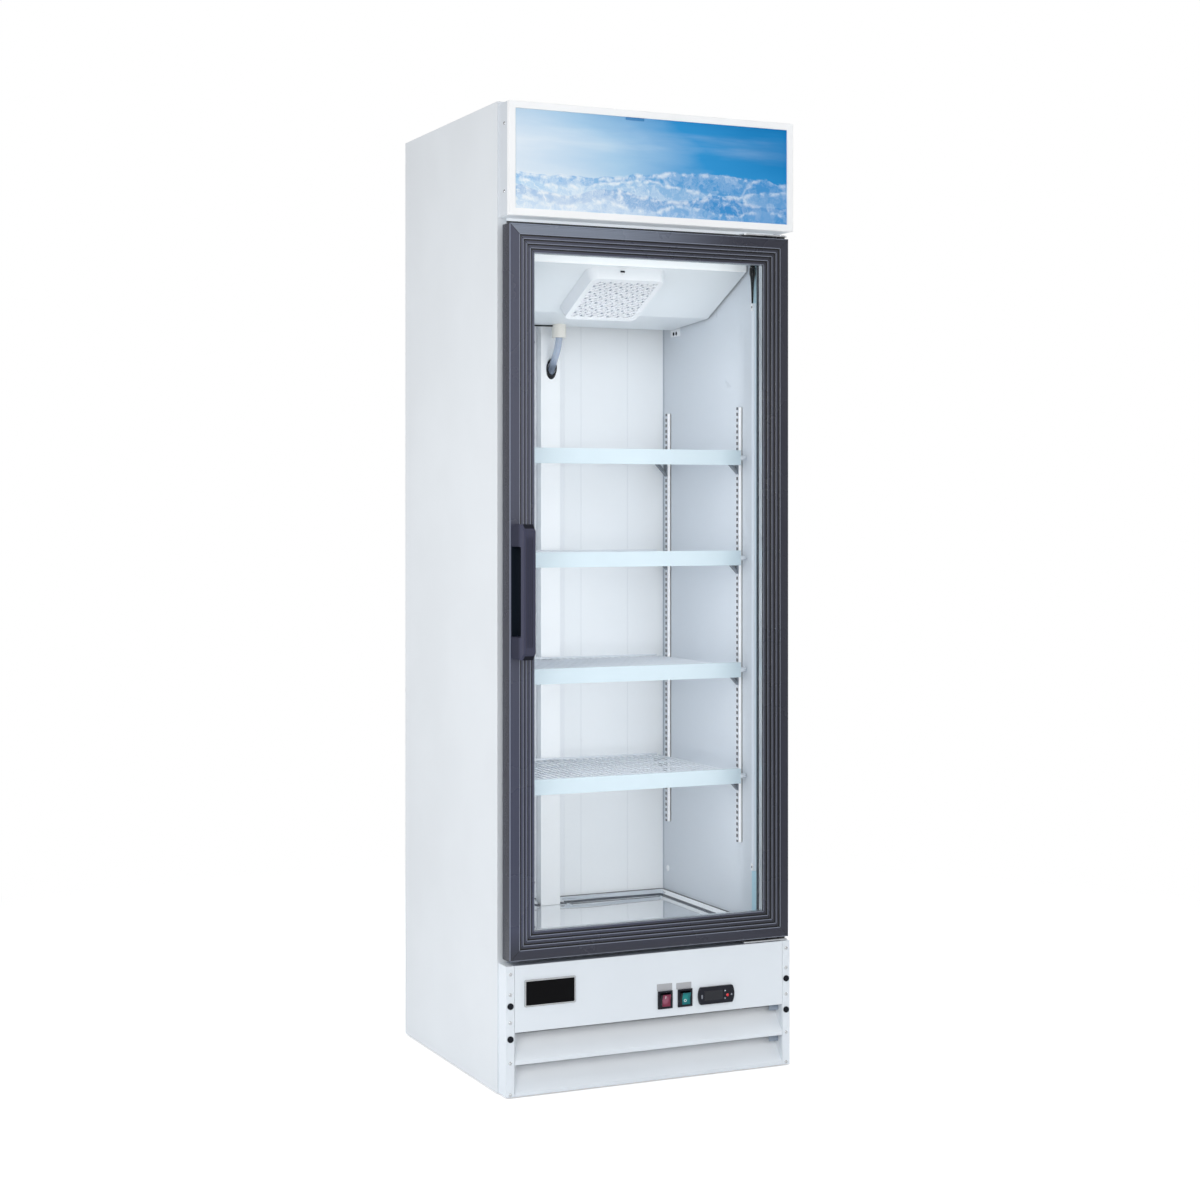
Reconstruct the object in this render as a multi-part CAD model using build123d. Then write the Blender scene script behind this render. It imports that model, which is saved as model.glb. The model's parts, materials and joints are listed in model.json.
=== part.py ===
from build123d import *
import math
import os

# Upright glass door merchandiser refrigerator, in millimetres.
# X runs to the right, the door faces -Y, Z points up.
# The origin is on the floor, under the centre of the whole outline.

# Cabinet
cabinet_width = 654.0
cabinet_height = 2000.0
cabinet_depth = 552.5
side_wall = 44.0
rear_wall = 58.0
rear_recess = 15.0
roof_wall = 60.0
header_wall = 66.0
floor_wall = 42.0
steel = 1.0
liner_steel = 1.2
panel_floor_gap = 3.0
side_front_flange = 20.0
side_rear_flange = 15.0
front_side_inset = 3.0

# Mouth of the cold room
mouth_bottom = 310.0
mouth_cover = 35.0
liner_floor = 282.0
breaker_depth = 50.0
breaker_wall = 3.0

# Door
door_side_inset = 8.0
door_base_gap = 9.5
door_canopy_gap = 15.0
door_thickness = 38.0
frame_band = 57.0
frame_flat = 22.0
frame_bevel = 3.0
frame_steps = 4
step_drop = 2.0
step_ramp = 1.0
glass_recess = 10.0
pane_thickness = 4.0
spacer_depth = 14.0
spacer_width = 9.0
glass_cover = 13.0
glass_clearance = 0.3
frame_wall = 3.0
gasket_width = 20.0
gasket_inset = 14.0
gasket_depth = 8.2
gasket_clearance = 0.3

# Handle
handle_projection = 64.0
handle_width = 27.0
handle_height = 269.0
handle_rise = 1.75
handle_edge_inset = 3.0
handle_bar_thickness = 15.0
handle_post_height = 45.0
handle_front_chamfer = 13.0
handle_root_radius = 13.0
handle_edge_radius = 2.5
handle_gap_radius = 5.0

# Hinges
pivot_from_edge = 12.0
pivot_from_front = 14.0
pin_radius = 4.0
pin_running_clearance = 0.05
pin_engagement = 20.0
pin_head_radius = 6.0
pin_head_height = 1.5
bush_wall = 3.0
bush_depth = 24.0
bush_flange = 1.5
bush_flange_height = 4.2
hinge_plate = 3.0
hinge_plate_length = 105.0
hinge_plate_gap = 4.5
hinge_flange_height = 16.0

# Light canopy
canopy_height = 227.5
canopy_top_drop = 6.5
canopy_depth = 55.3
canopy_back_depth = 16.0
canopy_steel = 1.2
sign_frame_depth = 10.0
sign_border = 14.0
sign_recess = 3.0
sign_thickness = 3.0
canopy_tube_radius = 8.0
canopy_tube_margin = 40.0
tube_holder = 22.0

# Base front
base_height = 265.0
base_depth = 40.5
base_post_width = 17.5
post_joint_gap = 0.5
louvre_count = 2
louvre_pitch = 65.1
louvre_height = 55.5
louvre_bottom = 10.5
louvre_reach = 36.0
louvre_top_gap = 10.0

# Control row on the base front
control_z = 166.5
switch_width = 33.0
switch_height = 36.5
switches_from_side = (294.9, 249.0)
bezel_proud = 3.0
bezel_wall = 4.5
bezel_end_wall = 3.5
switch_body_depth = 24.0
rocker_gap = 0.4
rocker_tilt = 8.0
rocker_height = 25.2
rocker_reach = 10.5
rocker_dish = 2.0
rocker_proud = 1.5
rocker_pin_radius = 2.0
rocker_pin_length = 2.2
controller_from_side = 177.0
controller_width = 84.0
controller_height = 36.0
controller_proud = 6.0
controller_body_depth = 55.0
controller_side_margin = 6.5
controller_end_margin = 4.0
controller_bow = 4.4
controller_corner = 3.0
controller_edge = 1.5
display_width = 43.0
display_height = 20.0
display_depth = 2.0
display_offset_x = -7.5
button_radius = 2.6
button_gap = 0.3
button_proud = 1.0
button_travel = 1.2
button_length = 5.0
button_places = {
    "set_button": (19.0, 7.6), "down_button": (18.7, -8.2), "up_button": (34.0, -0.9),
}

# Bare badge plate
badge_width = 112.0
badge_height = 54.0
badge_from_side = 94.7
badge_centre_z = 208.0
badge_thickness = 2.0
badge_rim = 3.0
badge_rim_proud = 1.0
badge_corner = 3.0

# Shelving
standard_width = 13.0
standard_depth = 9.0
standard_steel = 1.5
standard_floor_gap = 175.0
standard_top_gap = 316.0
front_standard_y = 100.5
rear_standard_gap = 32.5
slot_pitch = 12.7
slot_width = 4.0
slot_length = 7.0
slot_margin = 10.0
top_shelf_drop = 94.0
shelf_shares_down = (0.0, 0.23, 0.487, 0.73)
shelf_wall_gap = 21.0
shelf_frame_radius = 3.0
front_rod_radius = 4.0
front_rod_over = 17.0
shelf_front_y = 74.0
shelf_rear_gap = 30.5
wire_pitch = 16.0
wire_radius = 1.6
cross_rod_radius = 2.5
cross_rods = 4
weld_flat = 0.2
surface_drop = 8.0
rear_rail_inset = 12.0
strip_height = 32.0
strip_thickness = 2.5
strip_over = 3.5
strip_hook = 1.5
clip_reach = 30.0
clip_height = 35.0
clip_bar = 4.0
clip_width = 11.0
clip_rest_gap = 0.2
clip_strut_top = 10.0
clip_strut_bottom = 8.8
clip_tongue_gap = 0.3
clip_tongue_play = 1.0

# Evaporator above the ceiling cover
cover_sheet = 1.5
cover_front_drop = 24.0
cover_bend_back = 180.0
cover_bend_drop = 110.0
cover_rear_gap = 52.0
cover_rear_drop = 122.5
cover_rear_flange = 40.0
cover_front_flange = 20.0
cover_side_gap = 5.0
guard_base = 184.0
guard_face = 168.0
guard_depth = 25.0
guard_wall = 3.0
guard_face_thickness = 2.5
guard_web = 1.2
guard_hole_pitch = 12.0
guard_columns = 14
guard_rows = 12
guard_corner = 22.0
cold_fan_radius = 68.0
cold_fan_opening = 75.0
blade_setback = 14.0
cover_bracket_length = 45.0
cover_bracket_height = 34.0
cover_bracket_sheet = 2.0
cover_lug_reach = 12.0
cover_lug_height = 18.0
bracket_hole = 2.5
bracket_hole_columns = (0.35, 0.65)
bracket_hole_rows = (0.2, 0.8)
coil_side_gap = 43.0
coil_front = 240.0
coil_depth = 140.0
coil_drop = 80.0
coil_height = 236.0
coil_fins = 19
fin_thickness = 1.0
coil_tube_radius = 5.0
coil_rows = 3
coil_layers = 4
coil_end_plate = 2.0

# Fan motors and blades
motor_size = 56.0
motor_length = 48.0
shaft_radius = 3.0
shaft_clearance = 0.05
shaft_length = 30.0
hub_radius = 20.0
hub_length = 20.0
blade_count = 5
blade_thickness = 2.0
blade_pitch_angle = 28.0
motor_leg_width = 14.0
motor_leg_thickness = 2.0
motor_leg_margin = 8.0
motor_gap = 6.0
shaft_end_gap = 4.0
blade_chord_share = 1.2

# Drain
drain_x = -13.0
fitting_radius = 16.0
fitting_height = 29.0
fitting_roof = 3.0
hose_fit = 0.3
fitting_from_rear_edge = 17.0
hose_radius = 8.0
hose_bore = 6.0
hose_entry_depth = 5.0
hose_entry_drop = 99.5
hose_hole_clearance = 1.5
hose_bend_drop = 16.0
hose_bend_radius = 12.0
grommet_ring = 3.0
grommet_thickness = 4.0

# Duct column on the rear wall
column_width = 47.0
column_centre_x = -14.5
column_depth = 25.0
column_sheet = 1.2
column_top_drop = 66.0
column_flange = 22.0

# Lamp on the right jamb
lamp_sill_gap = 94.0
lamp_stem = 13.0
lamp_width = 10.0
lamp_depth = 7.0
lamp_back = 36.5
lamp_plug_length = 83.0
lamp_plug_radius = 6.5
lamp_plug_tip = 2.0

# Floor tray
tray_gap = 1.5
tray_height = 16.0
tray_sheet = 1.0
tray_lip = 5.0

# Machine compartment
deck_z = 16.0
deck_sheet = 2.0
foot_pad_radius = 19.0
foot_pad_height = 7.0
foot_stud_radius = 5.0
foot_stud_height = 36.0
foot_nut_radius = 9.0
foot_nut_height = 8.0
foot_inset = 55.0
compressor_x = 190.0
compressor_rear_gap = 156.5
compressor_length = 150.0
compressor_breadth = 118.0
compressor_height = 160.0
compressor_dome = 34.0
compressor_foot_length = 196.0
compressor_foot_breadth = 134.0
compressor_foot_sheet = 3.0
grommet_height = 14.0
grommet_radius = 10.0
condenser_x = -60.0
condenser_width = 340.0
condenser_depth = 50.0
condenser_height = 190.0
condenser_front_gap = 26.0
condenser_fins = 21
condenser_rows = 2
shroud_gap = 6.0
shroud_sheet = 1.5
warm_fan_radius = 86.0
warm_fan_opening = 92.0
pan_length = 190.0
pan_breadth = 150.0
pan_height = 42.0
pan_wall = 2.0
pan_rear_gap = 5.5
pipe_radius = 4.0
pipe_bend = 10.0
suction_wall_gap = 27.0
liquid_wall_gap = 13.0
pipe_hole_clearance = 1.0
port_radius = 5.5
port_reach = 8.0
port_offset = 16.0
drier_radius = 11.0
drier_length = 90.0
drier_y = -20.0
grille_slot_width = 5.0
grille_slot_height = 70.0
grille_slots = 24
grille_rows = 2
grille_slot_pitch = 22.0
grille_row_pitch = 96.0
gland_from_side = 37.0
gland_z = 62.0
gland_bore = 4.5
gland_radius = 8.0
gland_flange_radius = 13.0
gland_flange = 3.0
gland_length = 16.0

# Small fasteners
screw_head_radius = 3.6
screw_head_height = 1.6
screw_rows = (249.0, 208.0, 152.0, 71.0, 8.0)
plug_rows = (185.0, 119.0)
plug_radius = 6.5
plug_height = 1.8
plug_stem_radius = 4.0
plug_stem_length = 6.0
canopy_screw_rows = (49.5, 185.5)
canopy_screw_back = 30.5

# Places worked out from the sizes above
door_stand_off = door_thickness + gasket_depth + gasket_clearance
overall_depth = cabinet_depth + door_stand_off + handle_projection
back_y = overall_depth / 2
face_y = back_y - cabinet_depth
door_front_y = face_y - door_stand_off
door_rear_y = door_front_y + door_thickness
half_cabinet = cabinet_width / 2
half_room = half_cabinet - side_wall
side_pipe_x = half_cabinet - side_wall / 2
rear_skin_y = back_y - rear_recess
room_rear_y = rear_skin_y - rear_wall
room_front_y = face_y + steel + breaker_depth
header_rear_y = face_y + header_wall
room_top = cabinet_height - roof_wall
room_underside = liner_floor - floor_wall
door_half = half_cabinet - door_side_inset
pivot_x = door_half - pivot_from_edge
pivot_y = door_front_y + pivot_from_front
canopy_half = half_cabinet - front_side_inset
canopy_top = cabinet_height - canopy_top_drop
canopy_bottom = canopy_top - canopy_height
door_top = canopy_bottom - door_canopy_gap
door_bottom = base_height + door_base_gap
handle_centre_z = (door_bottom + door_top) / 2 + handle_rise
mouth_top = door_top - mouth_cover
canopy_front_y = face_y - canopy_depth
base_front_y = face_y - base_depth
base_half = half_cabinet - front_side_inset
post_inner_x = base_half - base_post_width
switch_x = [base_half - inset for inset in switches_from_side]
controller_x = base_half - controller_from_side
badge_centre_x = badge_from_side - base_half
deck_top = deck_z + deck_sheet
pane_front_y = door_front_y + glass_recess
glass_depth = 2 * pane_thickness + spacer_depth
glass_band = frame_band - glass_cover
standard_bottom = liner_floor + standard_floor_gap
standard_top = mouth_top - standard_top_gap
slot_count = (standard_top - standard_bottom) / slot_pitch
shelf_heights = [
    standard_top - top_shelf_drop - round(share * slot_count) * slot_pitch
    for share in shelf_shares_down
]
standard_centres = [face_y + front_standard_y, room_rear_y - rear_standard_gap]
shelf_half_width = half_room - shelf_wall_gap
rear_rail_half = shelf_half_width - rear_rail_inset
strip_half_width = shelf_half_width + strip_over
standard_face_x = half_room - standard_depth
column_front_y = room_rear_y - column_depth
column_top = mouth_top - column_top_drop
lamp_bottom = mouth_bottom + lamp_sill_gap
lamp_top = mouth_top - lamp_stem - lamp_plug_length

# Slope of the ceiling cover, and the plane of its fan
cover_front_y = header_rear_y + cover_sheet
cover_bend_y = cover_front_y + cover_bend_back
cover_rear_y = room_rear_y - cover_rear_gap
cover_front_z = mouth_top - cover_front_drop
cover_bend_z = mouth_top - cover_bend_drop
cover_rear_z = mouth_top - cover_rear_drop
hose_entry_z = cover_rear_z - hose_entry_drop
coil_half_width = half_room - coil_side_gap
coil_bottom = mouth_top - coil_drop
suction_x = half_room - suction_wall_gap
liquid_x = half_room - liquid_wall_gap
slope_run = cover_bend_y - cover_front_y
slope_drop = cover_front_z - cover_bend_z
slope_length = math.hypot(slope_run, slope_drop)
slope_normal = (0, -slope_drop / slope_length, -slope_run / slope_length)
cover_bend_under = cover_bend_z - cover_sheet * slope_length / slope_run
fan_centre = (0, cover_front_y + slope_run / 2, cover_front_z - slope_drop / 2)
cold_plane = Plane(origin=fan_centre, x_dir=(1, 0, 0), z_dir=slope_normal)

condenser_front_y = face_y + condenser_front_gap
condenser_rear_y = condenser_front_y + condenser_depth
shroud_y = condenser_rear_y + shroud_gap
condenser_z = deck_top + condenser_height / 2
riser_y = room_rear_y + rear_wall / 2
compressor_y = rear_skin_y - compressor_rear_gap
pan_y = rear_skin_y - pan_rear_gap - pan_breadth / 2
gland_x = gland_from_side - half_cabinet
warm_plane = Plane(
    origin=(condenser_x, shroud_y, condenser_z), x_dir=(1, 0, 0), z_dir=(0, -1, 0)
)

os.makedirs("parts", exist_ok=True)


def block(x0, x1, y0, y1, z0, z1):
    """A box between two corners."""
    centre = Pos((x0 + x1) / 2, (y0 + y1) / 2, (z0 + z1) / 2)
    return centre * Box(abs(x1 - x0), abs(y1 - y0), abs(z1 - z0))


def prism_x(profile, x0, x1):
    """A (y, z) outline drawn out from x0 to x1."""
    outline = Polyline([(x0, y, z) for y, z in profile], close=True)
    return extrude(make_face(outline), amount=x1 - x0, dir=(1, 0, 0))


def prism_y(profile, y0, y1):
    """An (x, z) outline drawn out from y0 to y1."""
    outline = Polyline([(x, y0, z) for x, z in profile], close=True)
    return extrude(make_face(outline), amount=y1 - y0, dir=(0, 1, 0))


def rod(start, end, radius):
    """A round bar between two points."""
    run = Vector(*end) - Vector(*start)
    return Solid.make_cylinder(radius, run.length, Plane(origin=start, z_dir=run))


def cone(start, end, start_radius, end_radius):
    """A tapered round bar between two points."""
    run = Vector(*end) - Vector(*start)
    plane = Plane(origin=start, z_dir=run)
    return Solid.make_cone(start_radius, end_radius, run.length, plane)


def tube(points, bends, outer, bore=0.0):
    """A pipe along straight runs joined by arcs."""
    path = FilletPolyline(*points, radius=bends)
    plane = Plane(origin=path @ 0, z_dir=path % 0)
    section = Circle(outer) - Circle(bore) if bore else Circle(outer)
    return sweep(plane * section, path=path)


def frame_ring(half_x, z0, z1, band, y0, y1):
    """A rectangular ring that stands upright."""
    outer = block(-half_x, half_x, y0, y1, z0, z1)
    inner = block(-half_x + band, half_x - band, y0, y1, z0 + band, z1 - band)
    return outer - inner


def both_sides(shape):
    """A shape and its copy on the other side of the cabinet."""
    return [shape, mirror(shape, about=Plane.YZ)]


def write(name, *shapes):
    """Keep every solid of one node in its own STEP file."""
    solids = [solid for shape in shapes for solid in shape.solids()]
    export_step(Compound(solids), f"parts/{name}.step")


# Cabinet shell

def side_panel():
    """Right side sheet with a folded front edge and a folded rear edge."""
    inner = half_cabinet - steel
    skin = block(inner, half_cabinet, face_y, back_y, panel_floor_gap, cabinet_height)
    front = block(
        half_cabinet - side_front_flange, half_cabinet, face_y, face_y + steel,
        panel_floor_gap, cabinet_height,
    )
    rear = block(
        half_cabinet - side_rear_flange, half_cabinet, back_y - steel, back_y,
        panel_floor_gap, cabinet_height,
    )
    return skin + front + rear


def top_panel():
    """Roof sheet between the side sheets."""
    inner = half_cabinet - steel
    return block(
        -inner, inner, face_y + steel, rear_skin_y, cabinet_height - steel, cabinet_height
    )


def rear_panel():
    """Rear sheet folded forward under the foam."""
    inner = half_cabinet - steel
    back = block(
        -inner, inner, rear_skin_y - steel, rear_skin_y, room_underside,
        cabinet_height - steel,
    )
    under = block(
        -inner, inner, face_y + steel, rear_skin_y, room_underside, room_underside + steel
    )
    return back + under - pipe_holes() - drain_hole()


def front_face_frame():
    """Front sheet round the mouth, between the folded side edges."""
    half = half_cabinet - side_front_flange
    plate = block(-half, half, face_y, face_y + steel, room_underside, cabinet_height)
    mouth = block(-half_room, half_room, face_y, face_y + steel, mouth_bottom, mouth_top)
    return plate - mouth


def inner_liner():
    """Sheets that line the cold room and the evaporator space over it."""
    s = liner_steel
    half, rear, head = half_room, room_rear_y, header_rear_y
    side = block(half, half + s, room_front_y, rear + s, liner_floor - s, mouth_top + s)
    side += block(half, half + s, head - s, rear + s, mouth_top, room_top + s)
    sheets = both_sides(side) + [
        block(-half, half, room_front_y, rear + s, liner_floor - s, liner_floor),
        block(-half, half, rear, rear + s, liner_floor, room_top + s),
        block(-half, half, head - s, rear, room_top, room_top + s),
        block(-half, half, head - s, head, mouth_top, room_top),
        block(-half, half, room_front_y, head - s, mouth_top, mouth_top + s),
    ]
    ways = pipe_holes() + [drain_hole()]
    return [sheet - ways for sheet in sheets]


def breaker_frame():
    """Four plastic strips that line the mouth and stop heat crossing the front edge."""
    w, half = breaker_wall, half_room
    y0, y1 = face_y + steel, room_front_y
    side = block(half, half + w, y0, y1, mouth_bottom, mouth_top)
    head = block(-half - w, half + w, y0, y1, mouth_top, mouth_top + w)
    sill = block(-half - w, half + w, y0, y1, mouth_bottom - w, mouth_bottom)
    step = block(-half - w, half + w, y1 - w, y1, liner_floor - liner_steel, mouth_bottom)
    return both_sides(side) + [head, sill + step]


def foam_insulation():
    """Foam slabs between the outer sheets and the lining."""
    inner, half = half_cabinet - steel, half_room + liner_steel
    y0, y1 = face_y + steel, rear_skin_y - steel
    z0, z1 = room_underside + steel, cabinet_height - steel
    rear, head = room_rear_y + liner_steel, header_rear_y - liner_steel
    mouth_half = half_room + breaker_wall
    side = block(half, inner, y0, y1, z0, z1)
    side -= block(
        half, mouth_half, y0, room_front_y, mouth_bottom - breaker_wall,
        mouth_top + breaker_wall,
    )
    side -= block(
        half, mouth_half, room_front_y - breaker_wall, room_front_y,
        liner_floor - liner_steel, mouth_bottom,
    )
    floor = block(-half, half, y0, rear, z0, liner_floor - liner_steel)
    floor += block(
        -half, half, y0, room_front_y - breaker_wall, liner_floor - liner_steel,
        mouth_bottom - breaker_wall,
    )
    header = block(-half, half, y0, head, mouth_top + liner_steel, z1)
    header -= block(
        -half, half, y0, room_front_y, mouth_top + liner_steel, mouth_top + breaker_wall
    )
    slabs = both_sides(side) + [
        floor, header,
        block(-half, half, rear, y1, z0, z1),
        block(-half, half, head, rear, room_top + liner_steel, z1),
    ]
    ways = pipe_holes() + [drain_hole()]
    return [slab - ways for slab in slabs]


def pipe_holes():
    """Round ways for the two cold pipes through the lining, the foam and the sheets."""
    radius = pipe_radius + pipe_hole_clearance
    return [cold_pipe(points, radius) for points in (suction_points(), liquid_points())]


def hose_line_y():
    """Depth at which the drain hose hangs in the duct column."""
    return (column_front_y + column_sheet + room_rear_y) / 2


def drain_hole():
    """Round way for the drain hose through the floor."""
    radius = hose_radius + hose_hole_clearance
    y = hose_line_y()
    return rod((drain_x, y, room_underside - steel), (drain_x, y, mouth_bottom), radius)


# Light canopy

def canopy_ring(y0, y1):
    """A sheet ring of the canopy's outline."""
    return frame_ring(canopy_half, canopy_bottom, canopy_top, canopy_steel, y0, y1)


def canopy_back_frame():
    """Sheet ring with a back plate, screwed to the cabinet front."""
    ring = canopy_ring(face_y - canopy_back_depth, face_y)
    plate = block(
        -canopy_half, canopy_half, face_y - canopy_steel, face_y,
        canopy_bottom, canopy_top,
    )
    return ring + plate


def canopy_housing():
    """Sheet ring that carries the sign frame."""
    front = canopy_front_y + sign_frame_depth
    return canopy_ring(front, face_y - canopy_back_depth)


def sign_frame():
    """Moulded front frame with a rebate for the sign."""
    ring = frame_ring(
        canopy_half, canopy_bottom, canopy_top, sign_border, canopy_front_y,
        canopy_front_y + sign_frame_depth,
    )
    ledge = sign_border - sign_thickness
    rebate = block(
        -canopy_half + ledge, canopy_half - ledge,
        canopy_front_y + sign_recess, canopy_front_y + sign_frame_depth,
        canopy_bottom + ledge, canopy_top - ledge,
    )
    return ring - rebate


def sign_panel():
    """Translucent sign sheet in the frame's rebate."""
    ledge = sign_border - sign_thickness
    y0 = canopy_front_y + sign_recess
    return block(
        -canopy_half + ledge, canopy_half - ledge, y0, y0 + sign_thickness,
        canopy_bottom + ledge, canopy_top - ledge,
    )


def canopy_lamp():
    """Tube lamp and its two holders behind the sign."""
    centre_z = (canopy_bottom + canopy_top) / 2
    reach = canopy_half - canopy_tube_margin
    y = face_y - canopy_steel - tube_holder
    glass = rod((-reach, y, centre_z), (reach, y, centre_z), canopy_tube_radius)
    holder = block(
        reach, reach + tube_holder, y - tube_holder / 2, face_y - canopy_steel,
        centre_z - tube_holder / 2, centre_z + tube_holder / 2,
    )
    return [glass] + both_sides(holder)


# Base front

def base_post():
    """Right hand folded post at the side of the base front."""
    bottom = panel_floor_gap
    front = block(
        post_inner_x, base_half, base_front_y, base_front_y + steel, bottom, base_height
    )
    side = block(base_half - steel, base_half, base_front_y, face_y, bottom, base_height)
    inside = block(
        post_inner_x, post_inner_x + steel, base_front_y, face_y, bottom, base_height
    )
    top = block(
        post_inner_x, base_half, base_front_y, face_y, base_height - steel, base_height
    )
    post = front + side + inside + top
    for z in plug_rows:
        post -= rod(
            (screw_line_x(), base_front_y - 1, z), (screw_line_x(), base_front_y + 2, z),
            plug_stem_radius,
        )
    return post


def screw_line_x():
    """Middle of a post, where its screws and plugs stand."""
    return (post_inner_x + base_half) / 2


def louvre_spans():
    """Bottom and top of each louvre opening."""
    return [
        (louvre_bottom + i * louvre_pitch, louvre_bottom + i * louvre_pitch + louvre_height)
        for i in range(louvre_count)
    ]


def base_front_cover():
    """Front cover with sloping louvre blades and cut-outs for the controls."""
    half = post_inner_x - post_joint_gap
    front = base_front_y
    sheet = block(-half, half, front, front + steel, panel_floor_gap, base_height)
    top = block(-half, half, front, face_y, base_height - steel, base_height)
    cover = sheet + top
    for z0, z1 in louvre_spans():
        cover -= block(-half + steel, half - steel, front, front + steel, z0, z1)
        blade = [
            (front, z0 - steel), (front, z0),
            (front + louvre_reach, z1 - louvre_top_gap),
            (front + louvre_reach, z1 - louvre_top_gap - 2 * steel),
            (front + steel, z0 - steel),
        ]
        cover += prism_x(blade, -half, half)
        for x0, x1 in ((-half, -half + steel), (half - steel, half)):
            cover += block(x0, x1, front, front + louvre_reach, z0 - steel, z1 + steel)
    for x in switch_x:
        cover -= switch_hole(x)
    cover -= controller_hole()
    return cover


def switch_hole(x):
    """Cut-out for one rocker switch."""
    half_w = switch_width / 2 - bezel_wall / 2
    half_h = switch_height / 2 - bezel_end_wall / 2
    return block(
        x - half_w, x + half_w, base_front_y, base_front_y + steel,
        control_z - half_h, control_z + half_h,
    )


def controller_hole():
    """Cut-out for the thermostat's body."""
    half_w = controller_width / 2 - controller_side_margin
    half_h = controller_height / 2 - controller_end_margin
    return block(
        controller_x - half_w, controller_x + half_w, base_front_y, base_front_y + steel,
        control_z - half_h, control_z + half_h,
    )


def switch_bezel(x):
    """Switch frame with its hollow body behind the cover."""
    half_w, half_h = switch_width / 2, switch_height / 2
    rim_front = base_front_y - bezel_proud
    rim = block(
        x - half_w, x + half_w, rim_front, base_front_y, control_z - half_h,
        control_z + half_h,
    )
    body_w, body_h = half_w - bezel_wall / 2, half_h - bezel_end_wall / 2
    body = block(
        x - body_w, x + body_w, base_front_y, base_front_y + switch_body_depth,
        control_z - body_h, control_z + body_h,
    )
    well_w, well_h = half_w - bezel_wall, half_h - bezel_end_wall
    well = block(
        x - well_w, x + well_w, rim_front, base_front_y + switch_body_depth - bezel_wall,
        control_z - well_h, control_z + well_h,
    )
    pin = rocker_pin(x, pin_running_clearance)
    return rim + body - well - pin


def rocker(x):
    """Rocker that tips about the pin it is moulded with."""
    half_w = switch_width / 2 - bezel_wall - rocker_gap
    pivot, half_h = rocker_pivot_y(), rocker_height / 2
    face = pivot - rocker_reach
    body = prism_x(
        [
            (face, control_z - half_h), (face + rocker_dish, control_z),
            (face, control_z + half_h), (pivot, control_z + half_h / 2),
            (pivot + half_h / 2, control_z), (pivot, control_z - half_h / 2),
        ],
        x - half_w, x + half_w,
    )
    axis = Axis((x, pivot, control_z), (1, 0, 0))
    return (body + rocker_pin(x, 0)).rotate(axis, rocker_tilt)


def rocker_pin(x, clearance):
    """Level pin of a rocker, or the room for it in the bezel's sides."""
    reach = switch_width / 2 - bezel_wall + rocker_pin_length + clearance
    pivot = rocker_pivot_y()
    radius = rocker_pin_radius + clearance
    return rod((x - reach, pivot, control_z), (x + reach, pivot, control_z), radius)


def rocker_pivot_y():
    """Depth of the rockers' axis behind the base front."""
    return base_front_y - bezel_proud - rocker_proud + rocker_reach


def controller_case():
    """Thermostat: bowed front bezel, body behind the cover, wells for its buttons."""
    half_w, half_h = controller_width / 2, controller_height / 2
    front = base_front_y - controller_proud
    shoulder = half_w - controller_bow

    def corner(x, z):
        return (controller_x + x, front, control_z + z)

    outline = [
        Line(corner(-shoulder, half_h), corner(shoulder, half_h)),
        ThreePointArc(corner(shoulder, half_h), corner(half_w, 0), corner(shoulder, -half_h)),
        Line(corner(shoulder, -half_h), corner(-shoulder, -half_h)),
        ThreePointArc(
            corner(-shoulder, -half_h), corner(-half_w, 0), corner(-shoulder, half_h)
        ),
    ]
    bezel = extrude(make_face(outline), amount=controller_proud, dir=(0, 1, 0))
    bezel = fillet(bezel.edges().filter_by(Axis.Y), controller_corner)
    bezel = fillet(bezel.faces().sort_by(Axis.Y)[0].edges(), controller_edge)
    body_w = half_w - controller_side_margin
    body_h = half_h - controller_end_margin
    body = block(
        controller_x - body_w, controller_x + body_w, base_front_y,
        base_front_y + controller_body_depth, control_z - body_h, control_z + body_h,
    )
    case = bezel + body - display_block()
    depth = button_length + button_travel + button_gap - button_proud
    for dx, dz in button_places.values():
        case -= rod(corner(dx, dz), Vector(*corner(dx, dz)) + Vector(0, depth, 0),
                    button_radius + button_gap)
    return case


def display_block():
    """Space that the display window fills in the bezel."""
    front = base_front_y - controller_proud
    centre = controller_x + display_offset_x
    return block(
        centre - display_width / 2, centre + display_width / 2, front,
        front + display_depth, control_z - display_height / 2,
        control_z + display_height / 2,
    )


def controller_button(dx, dz):
    """One push button, resting proud of the bezel."""
    front = base_front_y - controller_proud
    return rod(
        (controller_x + dx, front - button_proud, control_z + dz),
        (controller_x + dx, front - button_proud + button_length, control_z + dz),
        button_radius,
    )


def badge_block(inset, front, back):
    """A rounded plate at the badge's place, smaller all round by the inset."""
    half_w, half_h = badge_width / 2 - inset, badge_height / 2 - inset
    plate = block(
        badge_centre_x - half_w, badge_centre_x + half_w, front, back,
        badge_centre_z - half_h, badge_centre_z + half_h,
    )
    return fillet(plate.edges().filter_by(Axis.Y), badge_corner - inset / 2)


def badge_plate():
    """Bare plate inside the bright rim."""
    return badge_block(badge_rim, base_front_y - badge_thickness, base_front_y)


def badge_rim_ring():
    """Bright rim round the bare plate."""
    front = base_front_y - badge_thickness - badge_rim_proud
    ring = badge_block(0, front, base_front_y) - badge_block(badge_rim, front, base_front_y)
    return ring


def front_screw(x, y, z):
    """Low round screw head that faces the front."""
    return rod((x, y - screw_head_height, z), (x, y, z), screw_head_radius)


def cover_screws():
    """Heads of the screws on the base posts and on the canopy's sides."""
    heads = []
    for z in screw_rows:
        heads += both_sides(front_screw(screw_line_x(), base_front_y, z))
    y = face_y - canopy_screw_back
    for drop in canopy_screw_rows:
        z = canopy_bottom + drop
        x = canopy_half
        heads += both_sides(rod((x, y, z), (x + screw_head_height, y, z), screw_head_radius))
    return heads


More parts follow.
